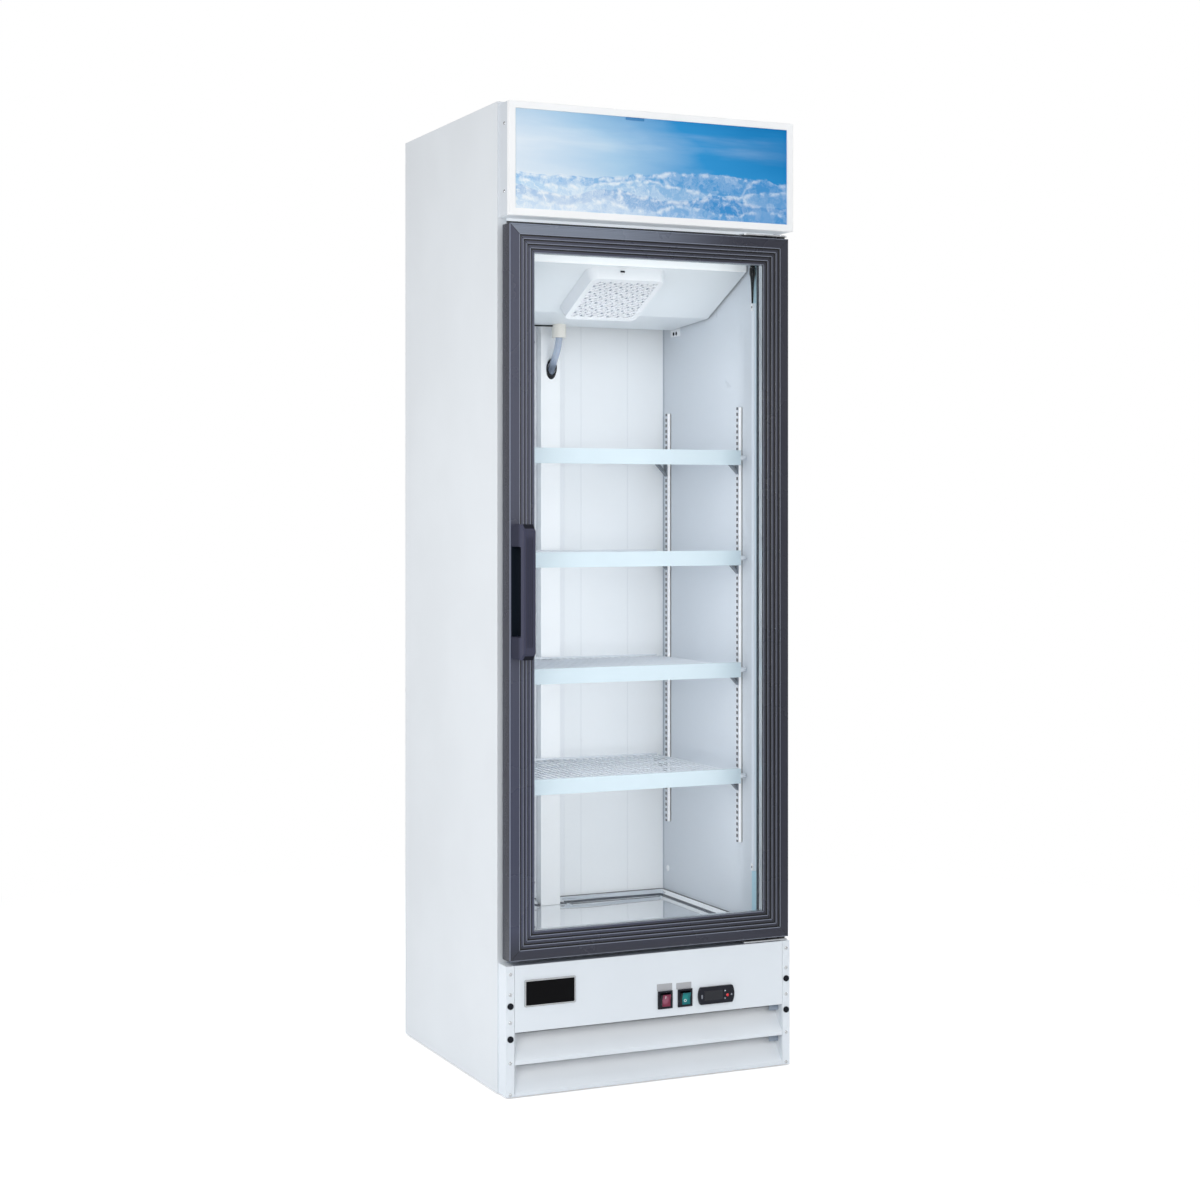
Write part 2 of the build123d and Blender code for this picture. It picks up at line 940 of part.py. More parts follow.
def plugs_and_grommets():
    """Plugs in the base posts, the ring round the drain hose and the mains inlet bush."""
    plugs = []
    for z in plug_rows:
        x = screw_line_x()
        head = rod((x, base_front_y - plug_height, z), (x, base_front_y, z), plug_radius)
        stem = rod(
            (x, base_front_y, z), (x, base_front_y + plug_stem_length, z),
            plug_stem_radius - 0.2,
        )
        plugs += both_sides(head + stem)
    return plugs + [hose_grommet(), cord_gland()]


# Door

def frame_profile():
    """Section of a door member as (inward, back) points from its outer front corner."""
    points = [(0, frame_bevel), (frame_bevel, 0), (frame_flat, 0)]
    step_width = (frame_band - frame_flat) / frame_steps
    for i in range(frame_steps):
        start = frame_flat + i * step_width
        points.append((start + step_ramp, (i + 1) * step_drop))
        points.append((start + step_width, (i + 1) * step_drop))
    points.append((frame_band, glass_recess - glass_clearance))
    rebate = glass_band - glass_clearance
    rebate_back = glass_recess + glass_depth + glass_clearance
    points.append((rebate, glass_recess - glass_clearance))
    points.append((rebate, rebate_back))
    points.append((frame_band - frame_wall, rebate_back))
    points.append((frame_band - frame_wall, door_thickness))
    points.append((0, door_thickness))
    return points


def chamber_profile():
    """Hollow inside a door member, between its flat band and the glass."""
    inner = glass_band - glass_clearance - frame_wall
    front = glass_recess + frame_wall
    return [
        (frame_flat, front), (inner, front), (inner, door_thickness - frame_wall),
        (frame_flat, door_thickness - frame_wall),
    ]


def mitre_block(side):
    """The mitred share of the door that one member fills."""
    z0, z1, half, band = door_bottom, door_top, door_half, frame_band
    shares = {
        "right": [(half, z0), (half, z1), (half - band, z1 - band), (half - band, z0 + band)],
        "top": [(-half, z1), (half, z1), (half - band, z1 - band), (-half + band, z1 - band)],
    }
    return prism_y(shares[side], door_front_y, door_rear_y)


def right_stile():
    """Right upright of the door frame, with its hinge bush holes."""
    def stile(profile):
        outline = Polyline(
            [(door_half - a, door_front_y + b, door_bottom) for a, b in profile],
            close=True,
        )
        return extrude(make_face(outline), amount=door_top - door_bottom, dir=(0, 0, 1))

    member = (stile(frame_profile()) - stile(chamber_profile())) & mitre_block("right")
    return member


def top_rail():
    """Top member of the door frame."""
    def rail(profile):
        outline = Polyline(
            [(-door_half, door_front_y + b, door_top - a) for a, b in profile],
            close=True,
        )
        return extrude(make_face(outline), amount=2 * door_half, dir=(1, 0, 0))

    return (rail(frame_profile()) - rail(chamber_profile())) & mitre_block("top")


def door_mid_plane():
    """Level plane through the middle of the door."""
    return Plane(origin=(0, 0, (door_bottom + door_top) / 2), z_dir=(0, 0, 1))


def bush_block(radius, depth):
    """Round posts down from the door's top and up from its bottom at the pivot."""
    upper = rod((pivot_x, pivot_y, door_top - depth), (pivot_x, pivot_y, door_top), radius)
    return [upper, mirror(upper, about=door_mid_plane())]


def door_stiles():
    """Both uprights of the door frame."""
    right = right_stile()
    left = mirror(right, about=Plane.YZ)
    for post in bush_block(bush_radius(), bush_depth):
        right = right - post
    return [right, left]


def door_rails():
    """Top and bottom members of the door frame."""
    top = top_rail()
    bottom = mirror(top, about=door_mid_plane())
    rails = []
    for rail in (top, bottom):
        for post in bush_block(bush_radius(), bush_depth):
            rail = rail - post
        rails.append(rail)
    return rails


def bush_radius():
    """Outer radius of a hinge bush."""
    return pin_radius + bush_wall


def hinge_bushes():
    """Plastic bushes in the door's ends, each with a thin flange."""
    body = bush_block(bush_radius(), bush_depth)
    bore = bush_block(pin_radius + pin_running_clearance, bush_depth)
    top = door_top + bush_flange_height
    flange = rod(
        (pivot_x, pivot_y, door_top), (pivot_x, pivot_y, top), bush_radius() + bush_flange
    )
    flange_bore = rod(
        (pivot_x, pivot_y, door_top), (pivot_x, pivot_y, top),
        pin_radius + pin_running_clearance,
    )
    upper = body[0] + flange - bore[0] - flange_bore
    return [upper, mirror(upper, about=door_mid_plane())]


def glass_panes():
    """Front and rear panes of the sealed glass unit."""
    half = door_half - glass_band
    z0, z1 = door_bottom + glass_band, door_top - glass_band
    front = block(-half, half, pane_front_y, pane_front_y + pane_thickness, z0, z1)
    shift = pane_thickness + spacer_depth
    return [front, Pos(0, shift, 0) * front]


def glass_spacer():
    """Metal spacer between the panes, flush with the frame's inner edge."""
    y0 = pane_front_y + pane_thickness
    band = frame_band - glass_band
    return frame_ring(
        door_half - glass_band, door_bottom + glass_band, door_top - glass_band, band,
        y0, y0 + spacer_depth,
    ) - frame_ring(
        door_half - glass_band, door_bottom + glass_band, door_top - glass_band,
        band - spacer_width, y0, y0 + spacer_depth,
    )


def door_gasket():
    """Magnet gasket with a bellows groove, on the rear face of the door frame."""
    half = door_half - gasket_inset
    z0, z1 = door_bottom + gasket_inset, door_top - gasket_inset
    rear = door_rear_y + gasket_depth
    ring = frame_ring(half, z0, z1, gasket_width, door_rear_y, rear)
    groove = gasket_width / 5
    inset = (gasket_width - groove) / 2
    notch = frame_ring(
        half - inset, z0 + inset, z1 - inset, groove, rear - gasket_depth / 3, rear
    )
    return ring - notch


def door_handle():
    """Upright pull handle on two posts, at the door's left edge."""
    x0 = -door_half + handle_edge_inset
    x1 = x0 + handle_width
    z0 = handle_centre_z - handle_height / 2
    z1 = handle_centre_z + handle_height / 2
    front = door_front_y - handle_projection
    body = block(x0, x1, front, door_front_y, z0, z1)
    across = body.edges().filter_by(Axis.X).group_by(Axis.Y)
    body = chamfer(across[0], handle_front_chamfer)
    roots = body.edges().filter_by(Axis.X).group_by(Axis.Y)[-1]
    body = fillet(roots, handle_root_radius)
    gap = block(
        x0, x1, front + handle_bar_thickness, door_front_y,
        z0 + handle_post_height, z1 - handle_post_height,
    )
    inner = gap.edges().filter_by(Axis.X).group_by(Axis.Y)[0]
    body -= fillet(inner, handle_gap_radius)
    sides = body.faces().filter_by(Axis.X)
    rims = [e for e in sides.edges() if (e @ 0.5).Y < door_front_y - 0.1]
    return fillet(rims, handle_edge_radius)


# Hinges

def upper_hinge_bracket():
    """Plate over the door with a flange screwed to the cabinet front."""
    z0 = door_top + hinge_plate_gap
    x1 = pivot_x + pin_head_radius + 2 * hinge_plate
    x0 = x1 - hinge_plate_length
    plate = block(x0, x1, pivot_y - pin_head_radius - hinge_plate, face_y, z0, z0 + hinge_plate)
    plate = fillet(plate.edges().filter_by(Axis.Z).group_by(Axis.Y)[0], pin_head_radius)
    flange = block(
        x0, x1, face_y - hinge_plate, face_y, z0 - hinge_flange_height + hinge_plate, z0
    )
    hole = rod((pivot_x, pivot_y, z0), (pivot_x, pivot_y, z0 + hinge_plate), pin_radius)
    return plate + flange - hole


def hinge_brackets():
    """Upper bracket and its copy under the door."""
    upper = upper_hinge_bracket()
    return [upper, mirror(upper, about=door_mid_plane())]


def hinge_pins():
    """Headed pins through the brackets into the door's bushes."""
    plate_top = door_top + hinge_plate_gap + hinge_plate
    shank = rod(
        (pivot_x, pivot_y, door_top - pin_engagement), (pivot_x, pivot_y, plate_top),
        pin_radius,
    )
    head = rod(
        (pivot_x, pivot_y, plate_top), (pivot_x, pivot_y, plate_top + pin_head_height),
        pin_head_radius,
    )
    upper = shank + head
    return [upper, mirror(upper, about=door_mid_plane())]


# Shelving

def shelf_standard(centre_y):
    """Right hand slotted channel on the room's wall."""
    y0, y1 = centre_y - standard_width / 2, centre_y + standard_width / 2
    z0, z1 = standard_bottom, standard_top
    channel = block(standard_face_x, half_room, y0, y1, z0, z1)
    channel -= block(
        standard_face_x + standard_steel, half_room, y0 + standard_steel,
        y1 - standard_steel, z0, z1,
    )
    slots = []
    z = clip_bottom(shelf_heights[-1])
    while z - slot_pitch > z0 + slot_margin:
        z -= slot_pitch
    while z + slot_length < z1 - slot_margin:
        slots.append(block(
            standard_face_x, standard_face_x + standard_steel,
            centre_y - slot_width / 2, centre_y + slot_width / 2, z, z + slot_length,
        ))
        z += slot_pitch
    return channel - slots


def clip_bottom(shelf_z):
    """Lowest level of the clips that carry a shelf."""
    return shelf_rest(shelf_z) - clip_rest_gap - clip_height


def shelf_rest(shelf_z):
    """Underside of a shelf's frame."""
    return rod_level(shelf_z) - shelf_frame_radius


def wire_level(shelf_z):
    """Height of a shelf's running wires."""
    return shelf_z - surface_drop - wire_radius


def rod_level(shelf_z):
    """Height of a shelf's frame and cross rods, whose flats meet the running wires."""
    return wire_level(shelf_z) - (wire_radius - weld_flat) - (cross_rod_radius - weld_flat)


def shelf_clip(centre_y, shelf_z):
    """Right hand bracket clip: an arm, a strut and a tongue in the slot."""
    x1 = standard_face_x
    x0 = x1 - clip_reach
    z1 = shelf_rest(shelf_z) - clip_rest_gap
    z0 = z1 - clip_height
    outer = [(x1, z1), (x0, z1), (x0, z1 - clip_bar), (x1, z0)]
    y0, y1 = centre_y - clip_width / 2, centre_y + clip_width / 2
    body = prism_y(outer, y0, y1)
    inner = [
        (x1 - clip_bar, z1 - clip_bar), (x0 + clip_strut_top, z1 - clip_bar),
        (x1 - clip_bar, z0 + clip_strut_bottom),
    ]
    body -= prism_y(inner, y0, y1)
    half_tongue = slot_width / 2 - clip_tongue_gap
    tongue = block(
        x1, x1 + standard_steel, centre_y - half_tongue, centre_y + half_tongue,
        z0 + clip_tongue_play, z0 + slot_length - clip_tongue_play,
    )
    return body + tongue


def shelf_clips():
    """Four clips under each shelf."""
    clips = []
    for shelf_z in shelf_heights:
        for centre_y in standard_centres:
            clips += both_sides(shelf_clip(centre_y, shelf_z))
    return clips


def shelf_standards():
    """Front and rear channels on both walls."""
    channels = []
    for centre_y in standard_centres:
        channels += both_sides(shelf_standard(centre_y))
    return channels


def flat_rod(start, end, radius):
    """A level round bar with a narrow weld flat along its top and its bottom."""
    half = radius - weld_flat
    reach = max(cabinet_width, cabinet_depth)
    z = start[2]
    return rod(start, end, radius) & block(-reach, reach, -reach, reach, z - half, z + half)


def wire_shelf(shelf_z):
    """Welded wire shelf: frame, cross rods, running wires and a rear rail."""
    level, wire_z = rod_level(shelf_z), wire_level(shelf_z)
    front, rear = face_y + shelf_front_y, room_rear_y - shelf_rear_gap
    front_reach = shelf_half_width + front_rod_over
    front_level = level + cross_rod_radius - front_rod_radius
    parts = [flat_rod(
        (-front_reach, front, front_level), (front_reach, front, front_level), front_rod_radius
    )]
    for x in (-shelf_half_width, shelf_half_width):
        parts.append(rod((x, front, level), (x, rear, level), shelf_frame_radius))
    for i in range(1, cross_rods + 1):
        y = front + i * (rear - front) / cross_rods
        parts.append(flat_rod(
            (-shelf_half_width, y, level), (shelf_half_width, y, level), cross_rod_radius
        ))
    wire_front, wire_rear = front - wire_radius, rear + wire_radius
    count = int((shelf_half_width - shelf_frame_radius) // wire_pitch)
    for i in range(-count, count + 1):
        x = i * wire_pitch
        parts.append(flat_rod((x, wire_front, wire_z), (x, wire_rear, wire_z), wire_radius))
    rail_z = wire_z + (wire_radius - weld_flat) + (cross_rod_radius - weld_flat)
    parts.append(flat_rod(
        (-rear_rail_half, rear, rail_z), (rear_rail_half, rear, rail_z), cross_rod_radius
    ))
    return parts[0].fuse(*parts[1:])


def price_strip(shelf_z):
    """Plastic strip clipped on a shelf's front rod."""
    level = rod_level(shelf_z) + cross_rod_radius - front_rod_radius
    rod_front = face_y + shelf_front_y - front_rod_radius
    rod_rear = face_y + shelf_front_y
    z0, z1 = shelf_z - strip_height, shelf_z
    low = level - front_rod_radius - strip_hook
    outline = [
        (rod_front - strip_thickness, z0), (rod_front - strip_thickness, z1),
        (rod_rear, z1), (rod_rear, z1 - strip_hook), (rod_front, z1 - strip_hook),
        (rod_front, low + strip_hook), (rod_rear, low + strip_hook), (rod_rear, low),
        (rod_front, low), (rod_front, z0),
    ]
    return prism_x(outline, -strip_half_width, strip_half_width)


# Cold room fittings

def floor_tray():
    """Bright steel tray with upright rims and a small top lip."""
    gap = tray_gap
    x1 = half_room - gap
    y0, y1 = room_front_y + gap, room_rear_y - gap
    z0, z1 = liner_floor, liner_floor + tray_height
    tray = block(-x1, x1, y0, y1, z0, z1)
    s = tray_sheet
    tray -= block(-x1 + s, x1 - s, y0 + s, y1 - s, z0 + s, z1 - s)
    lip = tray_lip
    tray -= block(-x1 + lip, x1 - lip, y0 + lip, y1 - lip, z1 - s, z1)
    radius = hose_radius + hose_hole_clearance
    y = hose_line_y()
    column = block(
        column_left() - column_flange - gap, column_right() + column_flange + gap,
        column_front_y - gap, y1, z0 + s, z1,
    )
    return tray - column - rod((drain_x, y, z0), (drain_x, y, z0 + s), radius)


def column_left():
    """Left side of the duct column."""
    return column_centre_x - column_width / 2


def column_right():
    """Right side of the duct column."""
    return column_centre_x + column_width / 2


def duct_column():
    """Folded duct on the rear wall that hides the drain hose."""
    x0, x1 = column_left(), column_right()
    z0 = liner_floor + tray_sheet
    s = column_sheet
    outer = block(x0, x1, column_front_y, room_rear_y, z0, column_top)
    inner = block(x0 + s, x1 - s, column_front_y + s, room_rear_y, z0, column_top)
    left = block(x0 - column_flange, x0, room_rear_y - s, room_rear_y, z0, column_top)
    right = block(x1, x1 + column_flange, room_rear_y - s, room_rear_y, z0, column_top)
    way = rod(*hose_entry(2 * column_depth), hose_radius + hose_hole_clearance)
    return outer - inner + left + right - way


def hose_points():
    """Corners of the drain hose's line, from its fitting to over the pan."""
    start_y = cover_rear_y - fitting_from_rear_edge
    start_z = cover_under_z(start_y) - fitting_height + hose_entry_depth
    end_y = hose_line_y()
    bend_z = start_z - hose_bend_drop
    steep = (bend_z - hose_entry_z) / (column_front_y - start_y)
    return [
        (drain_x, start_y, start_z),
        (drain_x, start_y, bend_z),
        (drain_x, end_y, bend_z - steep * (end_y - start_y)),
        (drain_x, end_y, deck_top + pan_height / 2),
    ]


def hose_entry(length):
    """Two points on the hose's slanted run, either side of the duct's front."""
    _, upper, lower, _ = hose_points()
    run = (Vector(*lower) - Vector(*upper)).normalized()
    middle = Vector(drain_x, column_front_y, hose_entry_z)
    half = run * (length / 2)
    return tuple(middle - half), tuple(middle + half)


def cover_under_z(y):
    """Underside level of the ceiling cover's rear part."""
    share = (y - cover_bend_y) / (cover_rear_y - cover_bend_y)
    return cover_bend_under + share * (cover_rear_z - cover_sheet - cover_bend_under)


def drain_fitting():
    """Drain cup under the ceiling cover, open for the hose."""
    y = cover_rear_y - fitting_from_rear_edge
    z1 = cover_under_z(y)
    z0 = z1 - fitting_height
    cup = rod((drain_x, y, z0), (drain_x, y, z1 + fitting_roof), fitting_radius)
    above = prism_x(
        [
            (cover_bend_y, cover_bend_z + fitting_height),
            (cover_bend_y, cover_under_z(cover_bend_y)),
            (cover_rear_y, cover_under_z(cover_rear_y)),
            (cover_rear_y, cover_bend_z + fitting_height),
        ],
        drain_x - 2 * fitting_radius, drain_x + 2 * fitting_radius,
    )
    bore = rod((drain_x, y, z0), (drain_x, y, z1 - fitting_roof), hose_radius + hose_fit)
    return cup - above - bore


def drain_hose():
    """Soft clear hose from the fitting, down inside the duct, to the pan."""
    return tube(hose_points(), [hose_bend_radius] * 2, hose_radius, hose_bore)


def hose_grommet():
    """Ring round the hose where it enters the duct."""
    inner = hose_radius + hose_hole_clearance
    start, end = hose_entry(4 * column_depth)
    ring = rod(start, end, inner + grommet_ring) - rod(start, end, inner)
    reach = 2 * column_depth
    slab = block(
        drain_x - reach, drain_x + reach, column_front_y - grommet_thickness,
        column_front_y, hose_entry_z - 2 * reach, hose_entry_z + 2 * reach,
    )
    return ring & slab


def evaporator_cover():
    """Folded ceiling cover: front flange, slope, rear part and rear flange."""
    s = cover_sheet
    half = half_room - cover_side_gap
    rise = s * (slope_drop / slope_run)
    flange_top = mouth_top + cover_front_flange
    outline = [
        (cover_front_y - s, flange_top),
        (cover_front_y - s, cover_front_z - (cover_bend_z - cover_bend_under) + rise),
        (cover_bend_y, cover_bend_under), (cover_rear_y, cover_rear_z - s),
        (cover_rear_y, cover_rear_z + cover_rear_flange),
        (cover_rear_y - s, cover_rear_z + cover_rear_flange),
        (cover_rear_y - s, cover_rear_z), (cover_bend_y, cover_bend_z),
        (cover_front_y, cover_front_z), (cover_front_y, flange_top),
    ]
    cover = prism_x(outline, -half, half)
    way = cold_plane * Cylinder(cold_fan_opening, 8 * s)
    return cover - way


def fan_guard():
    """Moulded guard with tapered sides and a face full of square holes."""
    base = Rectangle(guard_base, guard_base)
    base = fillet(base.vertices(), guard_corner)
    face = Rectangle(guard_face, guard_face)
    face = fillet(face.vertices(), guard_corner - (guard_base - guard_face) / 2)
    shell = loft([base, Pos(0, 0, guard_depth) * face])
    inner_base = Rectangle(guard_base - 2 * guard_wall, guard_base - 2 * guard_wall)
    inner_base = fillet(inner_base.vertices(), guard_corner - guard_wall)
    top = guard_depth - guard_face_thickness
    narrow = (guard_base - guard_face) * top / guard_depth + 2 * guard_wall
    inner_top = Rectangle(guard_base - narrow, guard_base - narrow)
    inner_top = fillet(inner_top.vertices(), guard_corner - narrow / 2)
    hollow = loft([inner_base, Pos(0, 0, top) * inner_top])
    places = HexLocations(guard_hole_pitch / 2, guard_columns, guard_rows)
    hole = RegularPolygon((guard_hole_pitch - guard_web) / 2, 6, major_radius=False)
    net = extrude(Sketch() + places * hole, amount=2 * guard_depth)
    guard = shell - hollow - net
    return cold_plane * Pos(0, 0, cover_sheet) * guard


def cover_bracket():
    """Right hand bracket plate with four holes, at the cover's rear corner."""
    y1 = cover_rear_y + cover_bracket_length / 4
    y0 = y1 - cover_bracket_length
    z0 = cover_rear_z - cover_bracket_height / 2
    plate = block(
        half_room - cover_bracket_sheet, half_room, y0, y1, z0, z0 + cover_bracket_height
    )
    for dy in bracket_hole_columns:
        for dz in bracket_hole_rows:
            y = y0 + dy * cover_bracket_length
            z = z0 + dz * cover_bracket_height
            plate -= rod(
                (half_room - cover_bracket_sheet, y, z), (half_room, y, z), bracket_hole
            )
    lug = block(
        half_room - cover_lug_reach, half_room, cover_rear_y,
        cover_rear_y + cover_bracket_sheet, cover_rear_z - cover_sheet,
        cover_rear_z - cover_sheet + cover_lug_height,
    )
    return plate + lug


def finned_coil(x0, x1, y0, y1, z0, z1, fins, layers, rows):
    """Tube and fin block between two end plates."""
    parts = []
    for i in range(fins):
        x = x0 + (x1 - x0 - fin_thickness) * i / (fins - 1)
        parts.append(block(x, x + fin_thickness, y0, y1, z0, z1))
    for layer in range(layers):
        z = z0 + (z1 - z0) * (layer + 0.5) / layers
        for row in range(rows):
            y = y0 + (y1 - y0) * (row + 0.5) / rows
            parts.append(rod((x0, y, z), (x1, y, z), coil_tube_radius))
    return parts[0].fuse(*parts[1:])


def evaporator_coil():
    """Cold coil, hung by its end plates over the ceiling cover."""
    y0 = face_y + coil_front
    y1 = y0 + coil_depth
    coil = finned_coil(
        -coil_half_width, coil_half_width, y0, y1, coil_bottom, coil_bottom + coil_height,
        coil_fins, coil_layers, coil_rows,
    )
    end_plate = block(
        coil_half_width - coil_end_plate, coil_half_width, y0, y1, coil_bottom, room_top
    )
    return coil.fuse(*both_sides(end_plate))


def lamp_y():
    """Depth of the lamp on the right jamb."""
    return face_y + lamp_back


def led_strip():
    """Strip lamp with a bevelled face on the right jamb."""
    y0, y1 = lamp_y() - lamp_width / 2, lamp_y() + lamp_width / 2
    x0 = half_room - lamp_depth
    lamp = block(x0, half_room, y0, y1, lamp_bottom, lamp_top)
    return chamfer(lamp.edges().filter_by(Axis.Z).group_by(Axis.X)[0], lamp_width / 4)


def led_connector():
    """Tapered plug on top of the strip lamp."""
    x = half_room - lamp_plug_radius
    z0, z1 = lamp_top, lamp_top + lamp_plug_length
    grip_z = z1 - lamp_plug_length / 4
    taper = cone((x, lamp_y(), z0), (x, lamp_y(), grip_z), lamp_plug_tip, lamp_plug_radius)
    grip = rod((x, lamp_y(), grip_z), (x, lamp_y(), z1), lamp_plug_radius)
    stem = rod((x, lamp_y(), z1), (x, lamp_y(), mouth_top), lamp_plug_tip)
    return taper + grip + stem


# Fans

def motor_with_legs(plane, leg_reach, foot_z):
    """Fan motor and the strap that carries it from two feet, in the fan's own plane."""
    front = -(blade_setback + hub_length + motor_gap)
    end = front - motor_length
    half = motor_size / 2
    body = block(-half, half, -half, half, end, front)
    t, w = motor_leg_thickness, motor_leg_width / 2
    strap = block(-leg_reach, leg_reach, -w, w, end - t, end)
    legs = block(leg_reach - t, leg_reach, -w, w, end - t, foot_z)
    legs += block(-leg_reach, -leg_reach + t, -w, w, end - t, foot_z)
    bore = rod((0, 0, front - shaft_length), (0, 0, front), shaft_radius + shaft_clearance)
    return plane * (body + strap + legs - bore)


def fan_motors():
    """The cold fan's motor and the condenser fan's motor."""
    cold = motor_with_legs(cold_plane, cold_fan_opening + motor_leg_margin, 0.0)
    warm = motor_with_legs(warm_plane, warm_fan_opening + motor_leg_margin, -shroud_sheet)
    return [cold, warm]


def fan_rotor(plane, radius):
    """Hub, pitched blades and shaft, in the fan's own plane."""
    back = -(blade_setback + hub_length)
    middle = back + hub_length / 2
    rotor = rod((0, 0, back), (0, 0, back + hub_length), hub_radius)
    chord = 2 * math.pi * hub_radius / blade_count * blade_chord_share
    root = hub_radius / 2
    blade = Pos((radius + root) / 2, 0, 0) * Rot(blade_pitch_angle, 0, 0) * Box(
        radius - root, chord, blade_thickness
    )
    for i in range(blade_count):
        rotor += Pos(0, 0, middle) * Rot(0, 0, i * 360 / blade_count) * blade
    rotor &= rod((0, 0, back), (0, 0, back + hub_length), radius)
    shaft_end = back - motor_gap - shaft_length + shaft_end_gap
    return plane * (rotor + rod((0, 0, shaft_end), (0, 0, back), shaft_radius))


# Machine compartment

def foot_places():
    """Centres of the four levelling feet."""
    x = half_cabinet - foot_inset
    return [(sx * x, y) for sx in (-1, 1) for y in (face_y + foot_inset, back_y - foot_inset)]


def base_chassis():
    """Deck with folded down edges and holes for the feet."""
    x1 = half_cabinet - steel
    y0, y1 = face_y + steel, rear_skin_y - steel
    deck = block(-x1, x1, y0, y1, panel_floor_gap, deck_top)
    deck -= block(
        -x1 + deck_sheet, x1 - deck_sheet, y0 + deck_sheet, y1 - deck_sheet,
        panel_floor_gap, deck_z,
    )
    for x, y in foot_places():
        deck -= rod((x, y, deck_z), (x, y, deck_top), foot_stud_radius)
    return deck


def levelling_foot(x, y):
    """Pad, stud and the nut that sits on the deck."""
    pad = rod((x, y, 0), (x, y, foot_pad_height), foot_pad_radius)
    pad = fillet(pad.edges().sort_by(Axis.Z)[-1], 3.0)
    stud = rod((x, y, foot_pad_height), (x, y, foot_stud_height), foot_stud_radius)
    low = rod((x, y, foot_pad_height), (x, y, deck_z), foot_nut_radius)
    high = rod((x, y, deck_top), (x, y, deck_top + foot_nut_height), foot_nut_radius)
    return pad + stud + low + high


def compressor():
    """Sealed shell on a foot plate, with its rubber grommets."""
    x, y = compressor_x, compressor_y
    plate_z = deck_top + grommet_height
    shell_z = plate_z + compressor_foot_sheet
    outline = Ellipse(compressor_length / 2, compressor_breadth / 2)
    shell = extrude(outline, amount=compressor_height)
    shell = fillet(shell.edges().sort_by(Axis.Z)[-1], compressor_dome)
    shell = Pos(x, y, shell_z) * shell
    for dx, end_y, port_z in (discharge_port(), suction_port()):
        shell += rod((x + dx, y, port_z), (x + dx, end_y, port_z), port_radius)
    half_l, half_b = compressor_foot_length / 2, compressor_foot_breadth / 2
    plate = block(x - half_l, x + half_l, y - half_b, y + half_b, plate_z, shell_z)
    plate = fillet(plate.edges().filter_by(Axis.Z), grommet_radius)
    grommets = []
    for sx in (-1, 1):
        for sy in (-1, 1):
            gx = x + sx * (half_l - grommet_radius)
            gy = y + sy * (half_b - grommet_radius)
            grommets.append(rod((gx, gy, deck_top), (gx, gy, plate_z), grommet_radius - 1))
    return [shell + plate] + grommets


def discharge_port():
    """Offset, end and height of the compressor's port towards the condenser."""
    end_y = compressor_y - compressor_breadth / 2 - port_reach
    return -port_offset, end_y, condenser_level(2)


def suction_port():
    """Offset, end and height of the compressor's port towards the cold coil."""
    end_y = compressor_y + compressor_breadth / 2 + port_reach
    return port_offset, end_y, condenser_level(2)


def condenser_level(layer):
    """Height of one layer of the condenser's tubes."""
    return deck_top + condenser_height * (layer + 0.5) / coil_layers


def evaporator_level(layer):
    """Height of one layer of the cold coil's tubes."""
    return coil_bottom + coil_height * (layer + 0.5) / coil_layers


def condenser_coil():
    """Warm coil behind the louvres, standing on the deck."""
    half = condenser_width / 2
    return finned_coil(
        condenser_x - half, condenser_x + half, condenser_front_y, condenser_rear_y,
        deck_top, deck_top + condenser_height, condenser_fins, coil_layers, condenser_rows,
    )


def condenser_shroud():
    """Fan plate behind the condenser with side returns that meet it."""
    half = condenser_width / 2
    x0, x1 = condenser_x - half, condenser_x + half
    z1 = deck_top + condenser_height
    plate = block(x0, x1, shroud_y, shroud_y + shroud_sheet, deck_top, z1)
    plate -= warm_plane * Cylinder(warm_fan_opening, 8 * shroud_sheet)
    left = block(x0, x0 + shroud_sheet, condenser_rear_y, shroud_y, deck_top, z1)
    right = block(x1 - shroud_sheet, x1, condenser_rear_y, shroud_y, deck_top, z1)
    return plate + left + right


def condensate_pan():
    """Open pan on the deck, under the end of the drain hose."""
    x0, x1 = drain_x - pan_length / 2, drain_x + pan_length / 2
    y0, y1 = pan_y - pan_breadth / 2, pan_y + pan_breadth / 2
    z1 = deck_top + pan_height
    pan = block(x0, x1, y0, y1, deck_top, z1)
    w = pan_wall
    return pan - block(x0 + w, x1 - w, y0 + w, y1 - w, deck_top + w, z1)


def condenser_row_y():
    """Depth of the rear row of the condenser's tubes."""
    return condenser_rear_y - condenser_depth / (2 * condenser_rows)


def evaporator_row_y():
    """Depth of the rear row of the cold coil's tubes."""
    return face_y + coil_front + coil_depth - coil_depth / (2 * coil_rows)


def suction_points():
    """Corners of the suction pipe, from the cold coil to the compressor."""
    offset, port_y, port_z = suction_port()
    row, level = evaporator_row_y(), evaporator_level(2)
    port_x = compressor_x + offset
    return [
        (coil_half_width, row, level), (suction_x, row, level),
        (suction_x, riser_y, level), (suction_x, riser_y, port_z),
        (port_x, riser_y, port_z), (port_x, port_y, port_z),
    ]


def liquid_points():
    """Corners of the liquid pipe, from the cold coil to the condenser."""
    row, level, low = evaporator_row_y(), evaporator_level(0), condenser_level(1)
    front = condenser_row_y()
    return [
        (coil_half_width, row, level), (liquid_x, row, level), (liquid_x, riser_y, level),
        (liquid_x, riser_y, low), (side_pipe_x, riser_y, low), (side_pipe_x, front, low),
        (condenser_x + condenser_width / 2, front, low),
    ]


def cold_pipe(points, radius):
    """A pipe with equal bends at all its corners."""
    return tube(points, [pipe_bend] * (len(points) - 2), radius)


